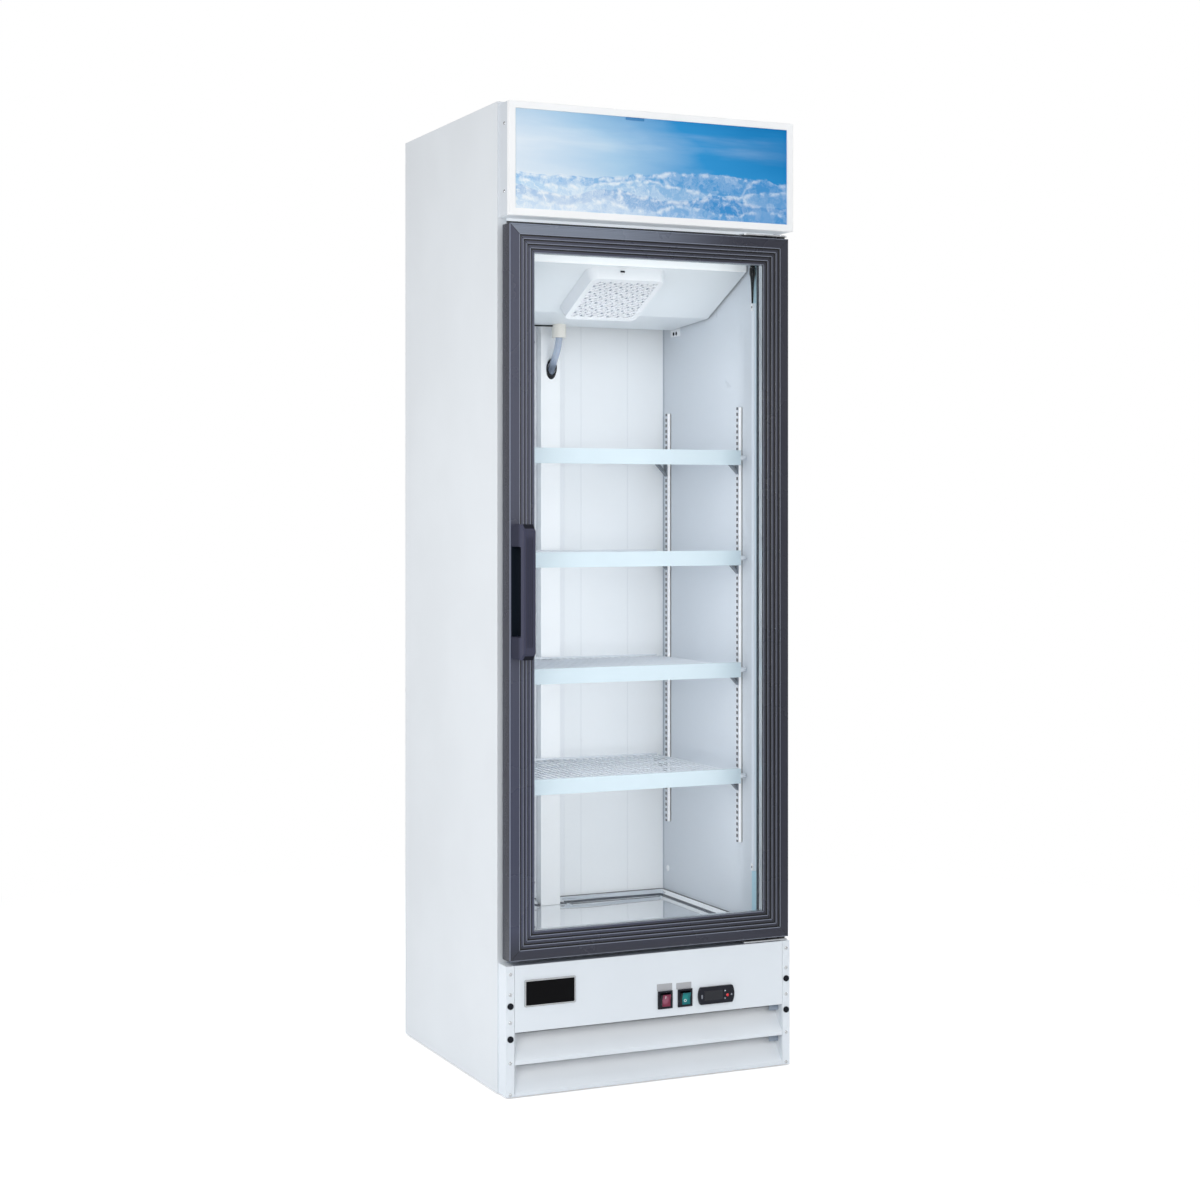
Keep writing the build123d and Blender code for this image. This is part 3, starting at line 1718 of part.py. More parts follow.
def refrigerant_pipes():
    """Suction pipe, liquid pipe with its drier, and discharge pipe."""
    offset, port_y, port_z = discharge_port()
    port_x, front = compressor_x + offset, condenser_row_y()
    discharge = cold_pipe(
        [
            (condenser_x + condenser_width / 2, front, port_z), (port_x, front, port_z),
            (port_x, port_y, port_z),
        ],
        pipe_radius,
    )
    low = condenser_level(1)
    drier = rod(
        (side_pipe_x, drier_y - drier_length / 2, low),
        (side_pipe_x, drier_y + drier_length / 2, low), drier_radius,
    )
    liquid = cold_pipe(liquid_points(), pipe_radius) + drier
    return [cold_pipe(suction_points(), pipe_radius), liquid, discharge]


def rear_grille():
    """Slotted rear cover of the machine compartment."""
    inner = half_cabinet - steel
    z0, z1 = panel_floor_gap, room_underside - steel
    plate = block(-inner, inner, rear_skin_y - steel, rear_skin_y, z0, z1)
    slot = Rectangle(grille_slot_width, grille_slot_height)
    places = GridLocations(grille_slot_pitch, grille_row_pitch, grille_slots, grille_rows)
    middle = Plane(
        origin=(0, rear_skin_y, (z0 + z1) / 2), x_dir=(1, 0, 0), z_dir=(0, -1, 0)
    )
    slots = extrude(middle * (Sketch() + places * slot), amount=2 * steel, both=True)
    gland_way = rod(
        (gland_x, rear_skin_y - 2 * steel, gland_z), (gland_x, back_y, gland_z),
        gland_radius,
    )
    return plate - slots - gland_way


def cord_gland():
    """Round inlet bush for the mains lead."""
    y = rear_skin_y
    body = rod((gland_x, y - gland_length, gland_z), (gland_x, y, gland_z), gland_radius)
    flange = rod((gland_x, y, gland_z), (gland_x, y + gland_flange, gland_z), gland_flange_radius)
    bore = rod(
        (gland_x, y - gland_length, gland_z), (gland_x, y + gland_flange, gland_z), gland_bore
    )
    return body + flange - bore


write("side_panels", *both_sides(side_panel()))
write("top_panel", top_panel())
write("rear_panel", rear_panel())
write("front_face_frame", front_face_frame())
write("inner_liner", *inner_liner())
write("breaker_frame", *breaker_frame())
write("foam_insulation", *foam_insulation())
write("canopy_back_frame", canopy_back_frame())
write("canopy_housing", canopy_housing())
write("sign_frame", sign_frame())
write("sign_panel", sign_panel())
write("canopy_lamp", *canopy_lamp())
write("base_posts", *both_sides(base_post()))
write("base_front_cover", base_front_cover())
write("switch_bezels", *[switch_bezel(x) for x in switch_x])
write("power_rocker", rocker(switch_x[0]))
write("light_rocker", rocker(switch_x[1]))
write("controller_case", controller_case())
write("controller_display", display_block())
for name, place in button_places.items():
    write(name, controller_button(*place))
write("badge_plate", badge_plate())
write("badge_rim", badge_rim_ring())
write("cover_screws", *cover_screws())
write("plugs_and_grommets", *plugs_and_grommets())
write("door_stiles", *door_stiles())
write("door_rails", *door_rails())
write("hinge_bushes", *hinge_bushes())
write("glass_panes", *glass_panes())
write("glass_spacer", glass_spacer())
write("door_gasket", door_gasket())
write("door_handle", door_handle())
write("hinge_brackets", *hinge_brackets())
write("hinge_pins", *hinge_pins())
write("shelf_standards", *shelf_standards())
write("shelf_clips", *shelf_clips())
write("wire_shelves", *[wire_shelf(z) for z in shelf_heights])
write("price_strips", *[price_strip(z) for z in shelf_heights])
write("floor_tray", floor_tray())
write("duct_column", duct_column())
write("drain_fitting", drain_fitting())
write("drain_hose", drain_hose())
write("evaporator_cover", evaporator_cover())
write("fan_guard", fan_guard())
write("cover_brackets", *both_sides(cover_bracket()))
write("evaporator_coil", evaporator_coil())
write("led_strip", led_strip())
write("led_connector", led_connector())
write("fan_motors", *fan_motors())
write("evaporator_fan", fan_rotor(cold_plane, cold_fan_radius))
write("condenser_fan", fan_rotor(warm_plane, warm_fan_radius))
write("base_chassis", base_chassis())
write("levelling_feet", *[levelling_foot(x, y) for x, y in foot_places()])
write("compressor", *compressor())
write("condenser_coil", condenser_coil())
write("condenser_shroud", condenser_shroud())
write("condensate_pan", condensate_pan())
write("refrigerant_pipes", *refrigerant_pipes())
write("rear_grille", rear_grille())
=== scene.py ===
"""Dresses, lights and frames a glass door display refrigerator on its fixed CAD frame.

All lengths are metres, the door faces -Y and Z points up, as in the frame.
"""

from __future__ import annotations

import json
import logging
import math
from dataclasses import dataclass
from enum import Enum
from typing import Any, Mapping, Optional, Sequence, Union

import bmesh
import bpy
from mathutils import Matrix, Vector

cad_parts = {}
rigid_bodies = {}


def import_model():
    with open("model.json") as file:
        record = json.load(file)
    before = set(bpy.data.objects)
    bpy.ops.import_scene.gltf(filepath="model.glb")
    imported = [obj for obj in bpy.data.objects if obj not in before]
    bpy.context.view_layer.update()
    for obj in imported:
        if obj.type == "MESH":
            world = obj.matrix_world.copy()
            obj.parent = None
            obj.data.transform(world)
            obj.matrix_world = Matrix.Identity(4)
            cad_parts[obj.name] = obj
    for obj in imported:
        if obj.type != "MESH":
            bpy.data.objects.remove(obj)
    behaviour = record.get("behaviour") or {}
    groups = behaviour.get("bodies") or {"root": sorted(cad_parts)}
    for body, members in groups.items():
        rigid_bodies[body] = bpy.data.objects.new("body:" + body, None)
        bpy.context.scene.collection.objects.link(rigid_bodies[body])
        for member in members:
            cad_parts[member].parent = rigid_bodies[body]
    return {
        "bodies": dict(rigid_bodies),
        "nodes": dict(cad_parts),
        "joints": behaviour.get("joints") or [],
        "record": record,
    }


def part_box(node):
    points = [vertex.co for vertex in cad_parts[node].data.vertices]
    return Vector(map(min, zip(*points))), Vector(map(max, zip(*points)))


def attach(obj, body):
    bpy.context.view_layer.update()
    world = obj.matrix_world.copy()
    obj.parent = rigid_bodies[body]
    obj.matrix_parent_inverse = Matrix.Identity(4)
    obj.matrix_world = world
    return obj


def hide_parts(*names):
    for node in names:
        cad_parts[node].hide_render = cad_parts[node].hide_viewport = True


log = logging.getLogger("refrigerator")
Colour = tuple[float, float, float, float]
Point = tuple[float, float, float]
Pairs = tuple[tuple[float, float], ...]
# Light may cross this many clear faces, so a closed door doesn't darken the room.
CLEAR_CROSSINGS = 32
MILLIMETRE = 0.001
LAMP_TONE = "f4fbff"
# Coved and moulded sections stay smooth up to this many degrees.
COVED_CREASE = 50.0


def tone(code: str, level: float = 1.0) -> Colour:
    """Turns a screen colour into the linear colour that a shader takes.

    Args:
        code: six hexadecimal digits, red first.
        level: a factor on the linear colour.

    Returns:
        Red, green, blue and an alpha of 1.
    """
    parts = [int(code[i:i + 2], 16) / 255 for i in (0, 2, 4)]
    linear = [c / 12.92 if c <= 0.04045 else ((c + 0.055) / 1.055) ** 2.4 for c in parts]
    return tuple(c * level for c in linear) + (1.0,)


class Run(Enum):
    """The direction in which a surface was rolled, drawn or brushed."""

    ACROSS = (1.0, 90.0, 90.0)
    UPRIGHT = (90.0, 90.0, 1.0)


class Mark(Enum):
    """The plain mark on a rocker."""

    LINE = "line"
    RING = "ring"


class Facing(Enum):
    """The way that a flat piece looks: its across, up and out directions."""

    FRONT = ((1, 0, 0), (0, 0, 1), (0, -1, 0))
    LEFT = ((0, -1, 0), (0, 0, 1), (-1, 0, 0))
    RIGHT = ((0, 1, 0), (0, 0, 1), (1, 0, 0))

    def at(self, centre: Vector, across: float, up: float, out: float = 0.0) -> Vector:
        """Gives the point that lies so far across, up and out from centre."""
        u, v, w = (Vector(d) for d in self.value)
        return centre + u * across + v * up + w * out


# Shader graphs


class Signal:
    """A number in a shader graph. Python's operators on it add Math nodes."""

    def __init__(self, graph: Graph, socket: bpy.types.NodeSocket) -> None:
        """Wraps one output socket of the graph."""
        self.graph = graph
        self.socket = socket

    def _maths(self, operation: str, *values: Value) -> Signal:
        """Adds one Math node.

        Args:
            operation: the Math node's operation.
            values: its inputs, in order.

        Returns:
            The node's result.
        """
        return self.graph.signal("Math", {"operation": operation}, dict(enumerate(values)))

    def __add__(self, other: Value) -> Signal:
        """Adds."""
        return self._maths("ADD", self, other)

    def __radd__(self, other: Value) -> Signal:
        """Adds."""
        return self._maths("ADD", other, self)

    def __sub__(self, other: Value) -> Signal:
        """Subtracts."""
        return self._maths("SUBTRACT", self, other)

    def __rsub__(self, other: Value) -> Signal:
        """Subtracts this from a number."""
        return self._maths("SUBTRACT", other, self)

    def __mul__(self, other: Value) -> Signal:
        """Multiplies."""
        return self._maths("MULTIPLY", self, other)

    def __rmul__(self, other: Value) -> Signal:
        """Multiplies."""
        return self._maths("MULTIPLY", other, self)

    def __truediv__(self, other: Value) -> Signal:
        """Divides."""
        return self._maths("DIVIDE", self, other)

    def __rtruediv__(self, other: Value) -> Signal:
        """Divides a number by this."""
        return self._maths("DIVIDE", other, self)

    def __pow__(self, other: Value) -> Signal:
        """Raises to a power."""
        return self._maths("POWER", self, other)

    def __abs__(self) -> Signal:
        """Drops the sign."""
        return self._maths("ABSOLUTE", self)

    def over(self, limit: Value) -> Signal:
        """Gives 1 where this is over the limit, else 0."""
        return self._maths("GREATER_THAN", self, limit)

    def under(self, limit: Value) -> Signal:
        """Gives 1 where this is under the limit, else 0."""
        return self._maths("LESS_THAN", self, limit)

    def most(self, other: Value) -> Signal:
        """Gives the larger of the two."""
        return self._maths("MAXIMUM", self, other)

    def least(self, other: Value) -> Signal:
        """Gives the smaller of the two."""
        return self._maths("MINIMUM", self, other)

    def sine(self) -> Signal:
        """Gives the sine."""
        return self._maths("SINE", self)

    def part(self) -> Signal:
        """Gives what is left over a whole number."""
        return self._maths("FRACT", self)

    def ramp(self, low: float, high: float, start: float = 0.0, end: float = 1.0) -> Signal:
        """Goes smoothly from start to end as this goes from low to high.

        Args:
            low: the value at which the result is start.
            high: the value at which the result is end.
            start: the result at and below low.
            end: the result at and above high.

        Returns:
            The eased value.
        """
        return self.graph.signal(
            "MapRange", {"interpolation_type": "SMOOTHSTEP"},
            {"Value": self, "From Min": low, "From Max": high, "To Min": start, "To Max": end},
        )

    def near(self, centre: float, inner: float, outer: float) -> Signal:
        """Gives 1 within inner of the centre, and 0 beyond outer."""
        return 1.0 - abs(self - centre).ramp(inner, outer)


Value = Union[float, Signal, bpy.types.NodeSocket, Sequence[float]]


class Graph:
    """The node graph of one material or of the world."""

    def __init__(self, tree: bpy.types.NodeTree) -> None:
        """Starts an empty graph in the tree."""
        tree.nodes.clear()
        self.tree = tree

    def add(
        self, kind: str, settings: Optional[Mapping[str, Any]] = None,
        inputs: Optional[Mapping[Union[str, int], Value]] = None,
    ) -> bpy.types.Node:
        """Adds a node, gives it its settings and then feeds its sockets.

        Args:
            kind: the node's type, without its ShaderNode prefix.
            settings: properties of the node; "stops" sets a ramp's colours.
            inputs: a value or a link for each named or numbered socket.

        Returns:
            The new node.
        """
        node = self.tree.nodes.new("ShaderNode" + kind)
        for key, value in (settings or {}).items():
            if key == "stops":
                self._set_stops(node.color_ramp, value)
            else:
                setattr(node, key, value)
        for key, value in (inputs or {}).items():
            source = value.socket if isinstance(value, Signal) else value
            if isinstance(source, bpy.types.NodeSocket):
                self.tree.links.new(source, node.inputs[key])
            else:
                node.inputs[key].default_value = source
        return node

    @staticmethod
    def _set_stops(ramp: bpy.types.ColorRamp, stops: Sequence[tuple[float, Colour]]) -> None:
        """Gives a ramp its places and colours, in order."""
        while len(ramp.elements) < len(stops):
            ramp.elements.new(1.0)
        for element, (place, colour) in zip(ramp.elements, stops):
            element.position, element.color = place, colour

    def signal(
        self, kind: str, settings: Optional[Mapping[str, Any]] = None,
        inputs: Optional[Mapping[Union[str, int], Value]] = None,
        output: Union[str, int] = 0,
    ) -> Signal:
        """Adds a node and wraps one of its outputs.

        Args:
            kind: the node's type, without its ShaderNode prefix.
            settings: properties of the node.
            inputs: a value or a link for each socket.
            output: the output to wrap.

        Returns:
            The wrapped output.
        """
        return Signal(self, self.add(kind, settings, inputs).outputs[output])

    def place(self) -> Signal:
        """Gives the point on the surface in the frame's metres, at rest."""
        return self.signal("TexCoord", output="Object")

    def axes(self) -> tuple[Signal, Signal, Signal]:
        """Gives the three coordinates of the point on the surface."""
        node = self.add("SeparateXYZ", inputs={0: self.place()})
        return tuple(Signal(self, out) for out in node.outputs)

    def stretched(self, scale: Sequence[float]) -> Signal:
        """Gives the surface point with each axis scaled."""
        return self.signal("Mapping", inputs={"Vector": self.place(), "Scale": tuple(scale)})

    def warped(self, reach: float, size: float) -> Signal:
        """Gives the surface point pushed about by coloured noise.

        Args:
            reach: how far it is pushed at most.
            size: the width of the noise's features.

        Returns:
            The wrapped vector.
        """
        push = self.signal("TexNoise", inputs={
            "Vector": self.place(), "Scale": 1.0 / size, "Detail": 3.0,
        }, output="Color")
        return self.signal("VectorMath", {"operation": "MULTIPLY_ADD"}, {
            0: push, 1: (reach * 2, reach * 2, reach * 2), 2: self.place(),
        })

    def noise(
        self, size: float, detail: float = 2.0, scale: Sequence[float] = (1, 1, 1),
        rough: float = 0.5,
    ) -> Signal:
        """Adds smooth noise.

        Args:
            size: the width of its larger features.
            detail: how many finer layers it has.
            scale: how much it is drawn together along each axis.
            rough: how strong the finer layers are.

        Returns:
            A value around 0.5.
        """
        return self.signal("TexNoise", inputs={
            "Vector": self.stretched(scale), "Scale": 1.0 / size, "Detail": detail,
            "Roughness": rough,
        })

    def cells(self, size: float, output: str = "Distance") -> Signal:
        """Adds a cell pattern, and gives its Distance or its Color output."""
        scale = {"Vector": self.place(), "Scale": 1.0 / size}
        return self.signal("TexVoronoi", inputs=scale, output=output)

    def mix(
        self, share: Value, first: Value, second: Value, blend: str = "MIX"
    ) -> bpy.types.NodeSocket:
        """Mixes two colours.

        Args:
            share: how much of the second colour.
            first: the first colour.
            second: the second colour.
            blend: how they blend.

        Returns:
            The mixed colour.
        """
        node = self.add(
            "Mix", {"data_type": "RGBA", "blend_type": blend},
            {0: share, 6: first, 7: second},
        )
        return node.outputs[2]

    def layered(self, base: Value, *layers: tuple[Value, str]) -> Value:
        """Lays colours over a base colour.

        Args:
            base: the colour at the bottom.
            layers: the share and the screen colour of each layer, from the bottom up.

        Returns:
            The resulting colour.
        """
        for share, code in layers:
            base = self.mix(share, base, tone(code))
        return base

    def bump(self, height: Signal, depth: float, rounded: float = 0.0) -> bpy.types.NodeSocket:
        """Turns a height into a normal.

        Args:
            height: a value of about 0 to 1.
            depth: the real height of a step of 1.
            rounded: the radius of softened edges, or 0 for none.

        Returns:
            The normal.
        """
        inputs: dict[Union[str, int], Value] = {
            "Height": height, "Distance": depth, "Strength": 1.0,
        }
        if rounded:
            inputs["Normal"] = self.rounding(rounded)
        return self.add("Bump", inputs=inputs).outputs[0]

    def rounding(self, radius: float) -> bpy.types.NodeSocket:
        """Gives a normal that turns smoothly over each edge."""
        return self.add("Bevel", {"samples": 4}, {"Radius": radius}).outputs[0]


# Finishes


@dataclass(frozen=True)
class Finish:
    """What every finish has. Its colour wanders a little, as all real ones do."""

    name: str
    colour: str
    rough: float = 0.5
    metal: float = 0.0
    shine: float = 0.5
    coat: float = 0.0
    drift: float = 0.03
    drift_size: float = 0.2
    rounded: float = 0.0
    grain: float = 0.00002
    grain_size: float = 0.0015
    # Emission: a lamp's own glow, and painted light on parts that are no lamp.
    glow: float = 0.0
    under_z: float = 0.0

    def paint(self, graph: Graph) -> Value:
        """Gives the base colour, a little lighter and darker in broad clouds."""
        level = 1.0 - self.drift
        cloud = graph.noise(self.drift_size, 3.0).ramp(0.3, 0.7)
        return graph.mix(cloud, tone(self.colour, level), tone(self.colour, 2.0 - level))

    def gloss(self, graph: Graph) -> Value:
        """Gives the roughness, which drifts as handling and cleaning leave it."""
        return self.rough + (graph.noise(self.drift_size * 0.6, 4.0) - 0.5) * 0.12

    def relief(self, graph: Graph) -> Value:
        """Gives the normal of a fine even grain."""
        return graph.bump(graph.noise(self.grain_size, 2.0), self.grain, self.rounded)

    def light(self, graph: Graph) -> Value:
        """Gives the colour of the glow, which lies only under under_z where that is set."""
        share = graph.axes()[2].under(self.under_z) if self.under_z else 1.0
        return self.lamplight(graph, share)

    def lamplight(self, graph: Graph, share: Value) -> Value:
        """Gives a lamp's colour where the share is 1, and none where it is 0."""
        return graph.mix(share, tone("000000"), tone(LAMP_TONE))

    def shader(self, graph: Graph) -> bpy.types.NodeSocket:
        """Builds the surface shader.

        Args:
            graph: the material's graph.

        Returns:
            The shader's output.
        """
        return graph.add("BsdfPrincipled", inputs={
            "Base Color": self.paint(graph), "Roughness": self.gloss(graph),
            "Metallic": self.metal, "Specular IOR Level": self.shine,
            "Coat Weight": self.coat, "Coat Roughness": 0.08, "Normal": self.relief(graph),
            "Emission Color": self.light(graph), "Emission Strength": self.glow,
        }).outputs[0]

    def material(self) -> bpy.types.Material:
        """Makes the material once, and gives it again after that.

        Returns:
            The Blender material.
        """
        label = self.name + "_finish"
        known = bpy.data.materials.get(label)
        if known:
            return known
        made = bpy.data.materials.new(label)
        made.use_nodes = True
        graph = Graph(made.node_tree)
        graph.add("OutputMaterial", inputs={"Surface": self.shader(graph)})
        return made


@dataclass(frozen=True)
class Enamel(Finish):
    """Baked enamel on sheet steel, with a faint orange peel and softened folds."""

    rough: float = 0.38
    shine: float = 0.45
    drift: float = 0.015
    rounded: float = 0.0012
    grain: float = 0.00003
    grain_size: float = 0.003


@dataclass(frozen=True)
class Lining(Enamel):
    """Cold room lining: pale rear wall, side walls greyed with painted shade, and painted shade in
    the side walls' rear corners and along faint pressed lines.
    """

    # Painted shade: the side walls' greyer tone.
    side: str = "d1d8e0"
    shade: str = "7d8a99"
    wall_x: float = 0.2815
    rear_y: float = 0.2565
    line_places: tuple[float, ...] = (-0.21, 0.072, 0.19)

    def paint(self, graph: Graph) -> Value:
        """Gives the lining's colour with its painted shade.

        Args:
            graph: the material's graph.

        Returns:
            The colour.
        """
        x, y, _ = graph.axes()
        beside = abs(x).ramp(self.wall_x - 0.0006, self.wall_x)
        lines = sum(x.near(place, 0.0008, 0.0022) for place in self.line_places) * 0.10
        corner = y.ramp(self.rear_y - 0.004, self.rear_y) * 0.35
        # Painted shade: faint dark pressed lines on the rear wall and darker rear corners on the
        # side walls.
        shaded = lines * (1.0 - beside) + corner * beside
        return graph.layered(super().paint(graph), (beside, self.side), (shaded, self.shade))


@dataclass(frozen=True)
class CeilingSheet(Enamel):
    """Ceiling cover enamel whose front flange is painted paler and given a painted glow, as
    painted light.
    """

    flange_y: float = -0.1531

    def paint(self, graph: Graph) -> Value:
        """Gives the cover's colour and the flange's paler painted light."""
        flange = graph.axes()[1].under(self.flange_y)
        return graph.layered(super().paint(graph), (flange, "fdfeff"))

    def light(self, graph: Graph) -> Value:
        """Gives the flange a painted glow that stands in for the light of the lamp in front of it,
        and none elsewhere.
        """
        return self.lamplight(graph, graph.axes()[1].under(self.flange_y))


@dataclass(frozen=True)
class LouvredSheet(Enamel):
    """Base front enamel: its blades are painted paler as painted light, and the top fold carries a
    painted shadow of the door.
    """

    front_y: float = -0.2615
    blade_depth: float = 0.036
    blades_top: float = 0.14
    fold_z: float = 0.2646
    fold_depth: float = 0.0006

    def paint(self, graph: Graph) -> Value:
        """Gives the sheet's colour, the blades' painted light and the fold's painted shadow.

        Args:
            graph: the material's graph.

        Returns:
            The colour.
        """
        _, y, z = graph.axes()
        deep = y - self.front_y
        inside = deep.ramp(0.002, self.blade_depth) * z.under(self.blades_top)
        fold = z.over(self.fold_z) * deep.over(self.fold_depth)
        # Painted light lifts the blades inside the louvres, and a painted shadow of the door
        # darkens the top fold.
        return graph.layered(super().paint(graph), (inside, "f7fbff"), (fold, "a9b3c2"))


@dataclass(frozen=True)
class FaceSheet(Enamel):
    """Front face enamel with painted shadow along the door's lower edge, painted shade behind its
    upper one and a painted glow above it.
    """

    fold_z: float = 0.2662
    shade_z: tuple[float, float] = (1.7560, 1.7607)

    def paint(self, graph: Graph) -> Value:
        """Gives the face's colour, the painted shadow on its lower fold and the painted shade
        behind the door's top.

        Args:
            graph: the material's graph.

        Returns:
            The colour.
        """
        _, _, z = graph.axes()
        shade = z.over(self.shade_z[0]) * z.under(self.shade_z[1])
        # Painted shadow under the door's lower edge and painted shade behind its top edge.
        return graph.layered(
            super().paint(graph), (z.under(self.fold_z), "98a3b3"), (shade * 0.92, "15171d"),
        )

    def light(self, graph: Graph) -> Value:
        """Gives a painted glow on the shaded strip between the door and the canopy."""
        z = graph.axes()[2]
        return self.lamplight(graph, z.over(self.shade_z[1]) * z.under(self.under_z))


@dataclass(frozen=True)
class ColumnSheet(Enamel):
    """Duct enamel: a bright column between flanges that take the wall's tone, with painted shade
    along each fold.
    """

    sides: tuple[float, float] = (-0.038, 0.009)
    wall_tone: str = "e9edf1"

    def paint(self, graph: Graph) -> Value:
        """Gives the column's colour, its flanges and a painted shade line along each fold.

        Args:
            graph: the material's graph.

        Returns:
            The colour.
        """
        x, _, _ = graph.axes()
        left, right = self.sides
        beyond = abs(x - (left + right) / 2) - (right - left) / 2
        flange = beyond.over(0.0)
        fold = flange * beyond.ramp(0.0008, 0.0030, 1.0, 0.0)
        # Painted shade: a dark line on each flange along its fold.
        return graph.layered(
            super().paint(graph), (flange, self.wall_tone), (fold * 0.30, "8a95a5"),
        )


@dataclass(frozen=True)
class Moulding(Finish):
    """Moulded plastic with a fine spark-eroded grain."""

    def relief(self, graph: Graph) -> Value:
        """Gives the normal of small pits between raised cells."""
        pits = graph.cells(self.grain_size).ramp(0.0, 0.7)
        return graph.bump(pits, self.grain, self.rounded)


@dataclass(frozen=True)
class GripPlastic(Moulding):
    """Dark handle plastic with moulded ribs along the grip, painted highlights on their crests,
    painted shade in their hollows and towards the back, and darker ends.
    """

    grip_left: float = -0.3115
    ends_z: tuple[float, float] = (0.880, 1.149)
    front_y: float = -0.3315
    rib_pitch: float = 0.0062

    def paint(self, graph: Graph) -> Value:
        """Gives the plastic, painted highlights on the ribs' crests, painted shade in their
        hollows and towards the back, and the dark ends.

        Args:
            graph: the material's graph.

        Returns:
            The colour.
        """
        x, y, z = graph.axes()
        deep = y - self.front_y
        front = 1.0 - deep.ramp(0.002, 0.006)
        wave = ((x - self.grip_left) * (2 * math.pi / self.rib_pitch)).sine() * 0.5
        crest = (wave + 0.5).ramp(0.55, 0.95) * front
        hollow = (wave + 1.0).ramp(0.9, 1.5) * front
        foot = deep.ramp(0.012, 0.030)
        ends = (z - self.ends_z[0]).least(self.ends_z[1] - z)
        tip = ends.ramp(0.007, 0.0105, 1.0, 0.0) * x.over(self.grip_left)
        # Painted highlight on the crests, and painted shade in the hollows and at the foot.
        return graph.layered(
            tone(self.colour), (crest * 0.5, "75748a"), (hollow * 0.55, "1c1e2a"),
            (foot * 0.75, "222433"), (tip * 0.85, "101118"),
        )


@dataclass(frozen=True)
class DrawnBar(Finish):
    """A drawn or extruded bar with die lines along its length."""

    run: Run = Run.UPRIGHT
    line_size: float = 0.06
    streak: float = 0.12

    def lines(self, graph: Graph) -> Signal:
        """Gives fine lines along the bar."""
        return graph.noise(self.line_size, 3.0, self.run.value, 0.6)

    def streaked(self, graph: Graph, dark: float, pale: float) -> Value:
        """Gives the colour between two levels of it, along the die lines."""
        fine = self.lines(graph).ramp(0.35, 0.65)
        return graph.mix(fine, tone(self.colour, dark), tone(self.colour, pale))

    def paint(self, graph: Graph) -> Value:
        """Gives the base colour with faint streaks along the bar."""
        return self.streaked(graph, 1.0 - self.streak, 1.0 + self.streak)

    def gloss(self, graph: Graph) -> Value:
        """Gives the roughness, rougher on the die lines."""
        return self.rough + (self.lines(graph) - 0.5) * 0.15

    def relief(self, graph: Graph) -> Value:
        """Gives the normal of the die lines."""
        return graph.bump(self.lines(graph), self.grain, self.rounded)


@dataclass(frozen=True)
class SteppedFrame(Finish):
    """Black coated door profile whose die lines and steps run round the mitred frame, with painted
    shade and painted highlights laid on it.
    """

    half: float = 0.319
    bottom: float = 0.2745
    top: float = 1.751
    flat: float = 0.022
    pitch: float = 0.00875
    shaded_top: float = 0.345
    # Painted shade in the step roots, and the mitre joints' own dark colour.
    root_shade_and_joint: str = "05060a"
    # Painted highlight along the step edges.
    edge: str = "98a0b2"
    # Painted shade towards the right, the bottom and the outer side, and a painted lit band on the
    # top rail.
    shaded: str = "2b2d3a"
    lit: str = "7b8494"

    def paint(self, graph: Graph) -> Value:
        """Gives painted shade in the step roots and towards the right, the bottom and the outer
        side, painted highlights on the step edges, a painted lit band on the top rail and dark
        mitre joints.

        Args:
            graph: the material's graph.

        Returns:
            The colour.
        """
        x, _, z = graph.axes()
        beside, under_top = self.half - abs(x), self.top - z
        above = (z - self.bottom).least(under_top)
        inward = beside.least(above)
        # Painted shade towards the right, the bottom and the outer side.
        away = x.ramp(-0.28, 0.30).most(z.ramp(self.bottom, self.shaded_top, 1.0, 0.0))
        away = away.most(beside.ramp(0.0001, 0.0006, 1.0, 0.0))
        rail = under_top.under(beside) * under_top.ramp(self.flat - 0.002, self.flat, 1.0, 0.0)
        rail = rail * x.ramp(-0.12, 0.22, 0.9, 0.0)
        plain = graph.layered(tone(self.colour), (away, self.shaded), (rail, self.lit))
        die = graph.signal("TexNoise", {"noise_dimensions": "1D"}, {
            "W": inward, "Scale": 900.0, "Detail": 3.0,
        })
        lines = graph.mix(die.ramp(0.35, 0.65), (0.82, 0.82, 0.82, 1), (1.22, 1.22, 1.22, 1))
        stepped = inward.over(self.flat - 0.0022)
        turn = ((inward - self.flat) / self.pitch + 1.25).part()
        root = turn.near(0.42, 0.12, 0.21) * stepped
        rim = (turn.near(0.16, 0.05, 0.13) * stepped).most(inward.near(0.0012, 0.0002, 0.0011))
        joint = (beside - above).near(0.0, 0.0003, 0.0011)
        # Painted highlights on the step edges and painted shade in the step roots.
        return graph.layered(
            graph.mix(1.0, plain, lines, "MULTIPLY"), (rim * 0.62, self.edge),
            (root * 0.97, self.root_shade_and_joint), (joint * 0.85, self.root_shade_and_joint),
        )


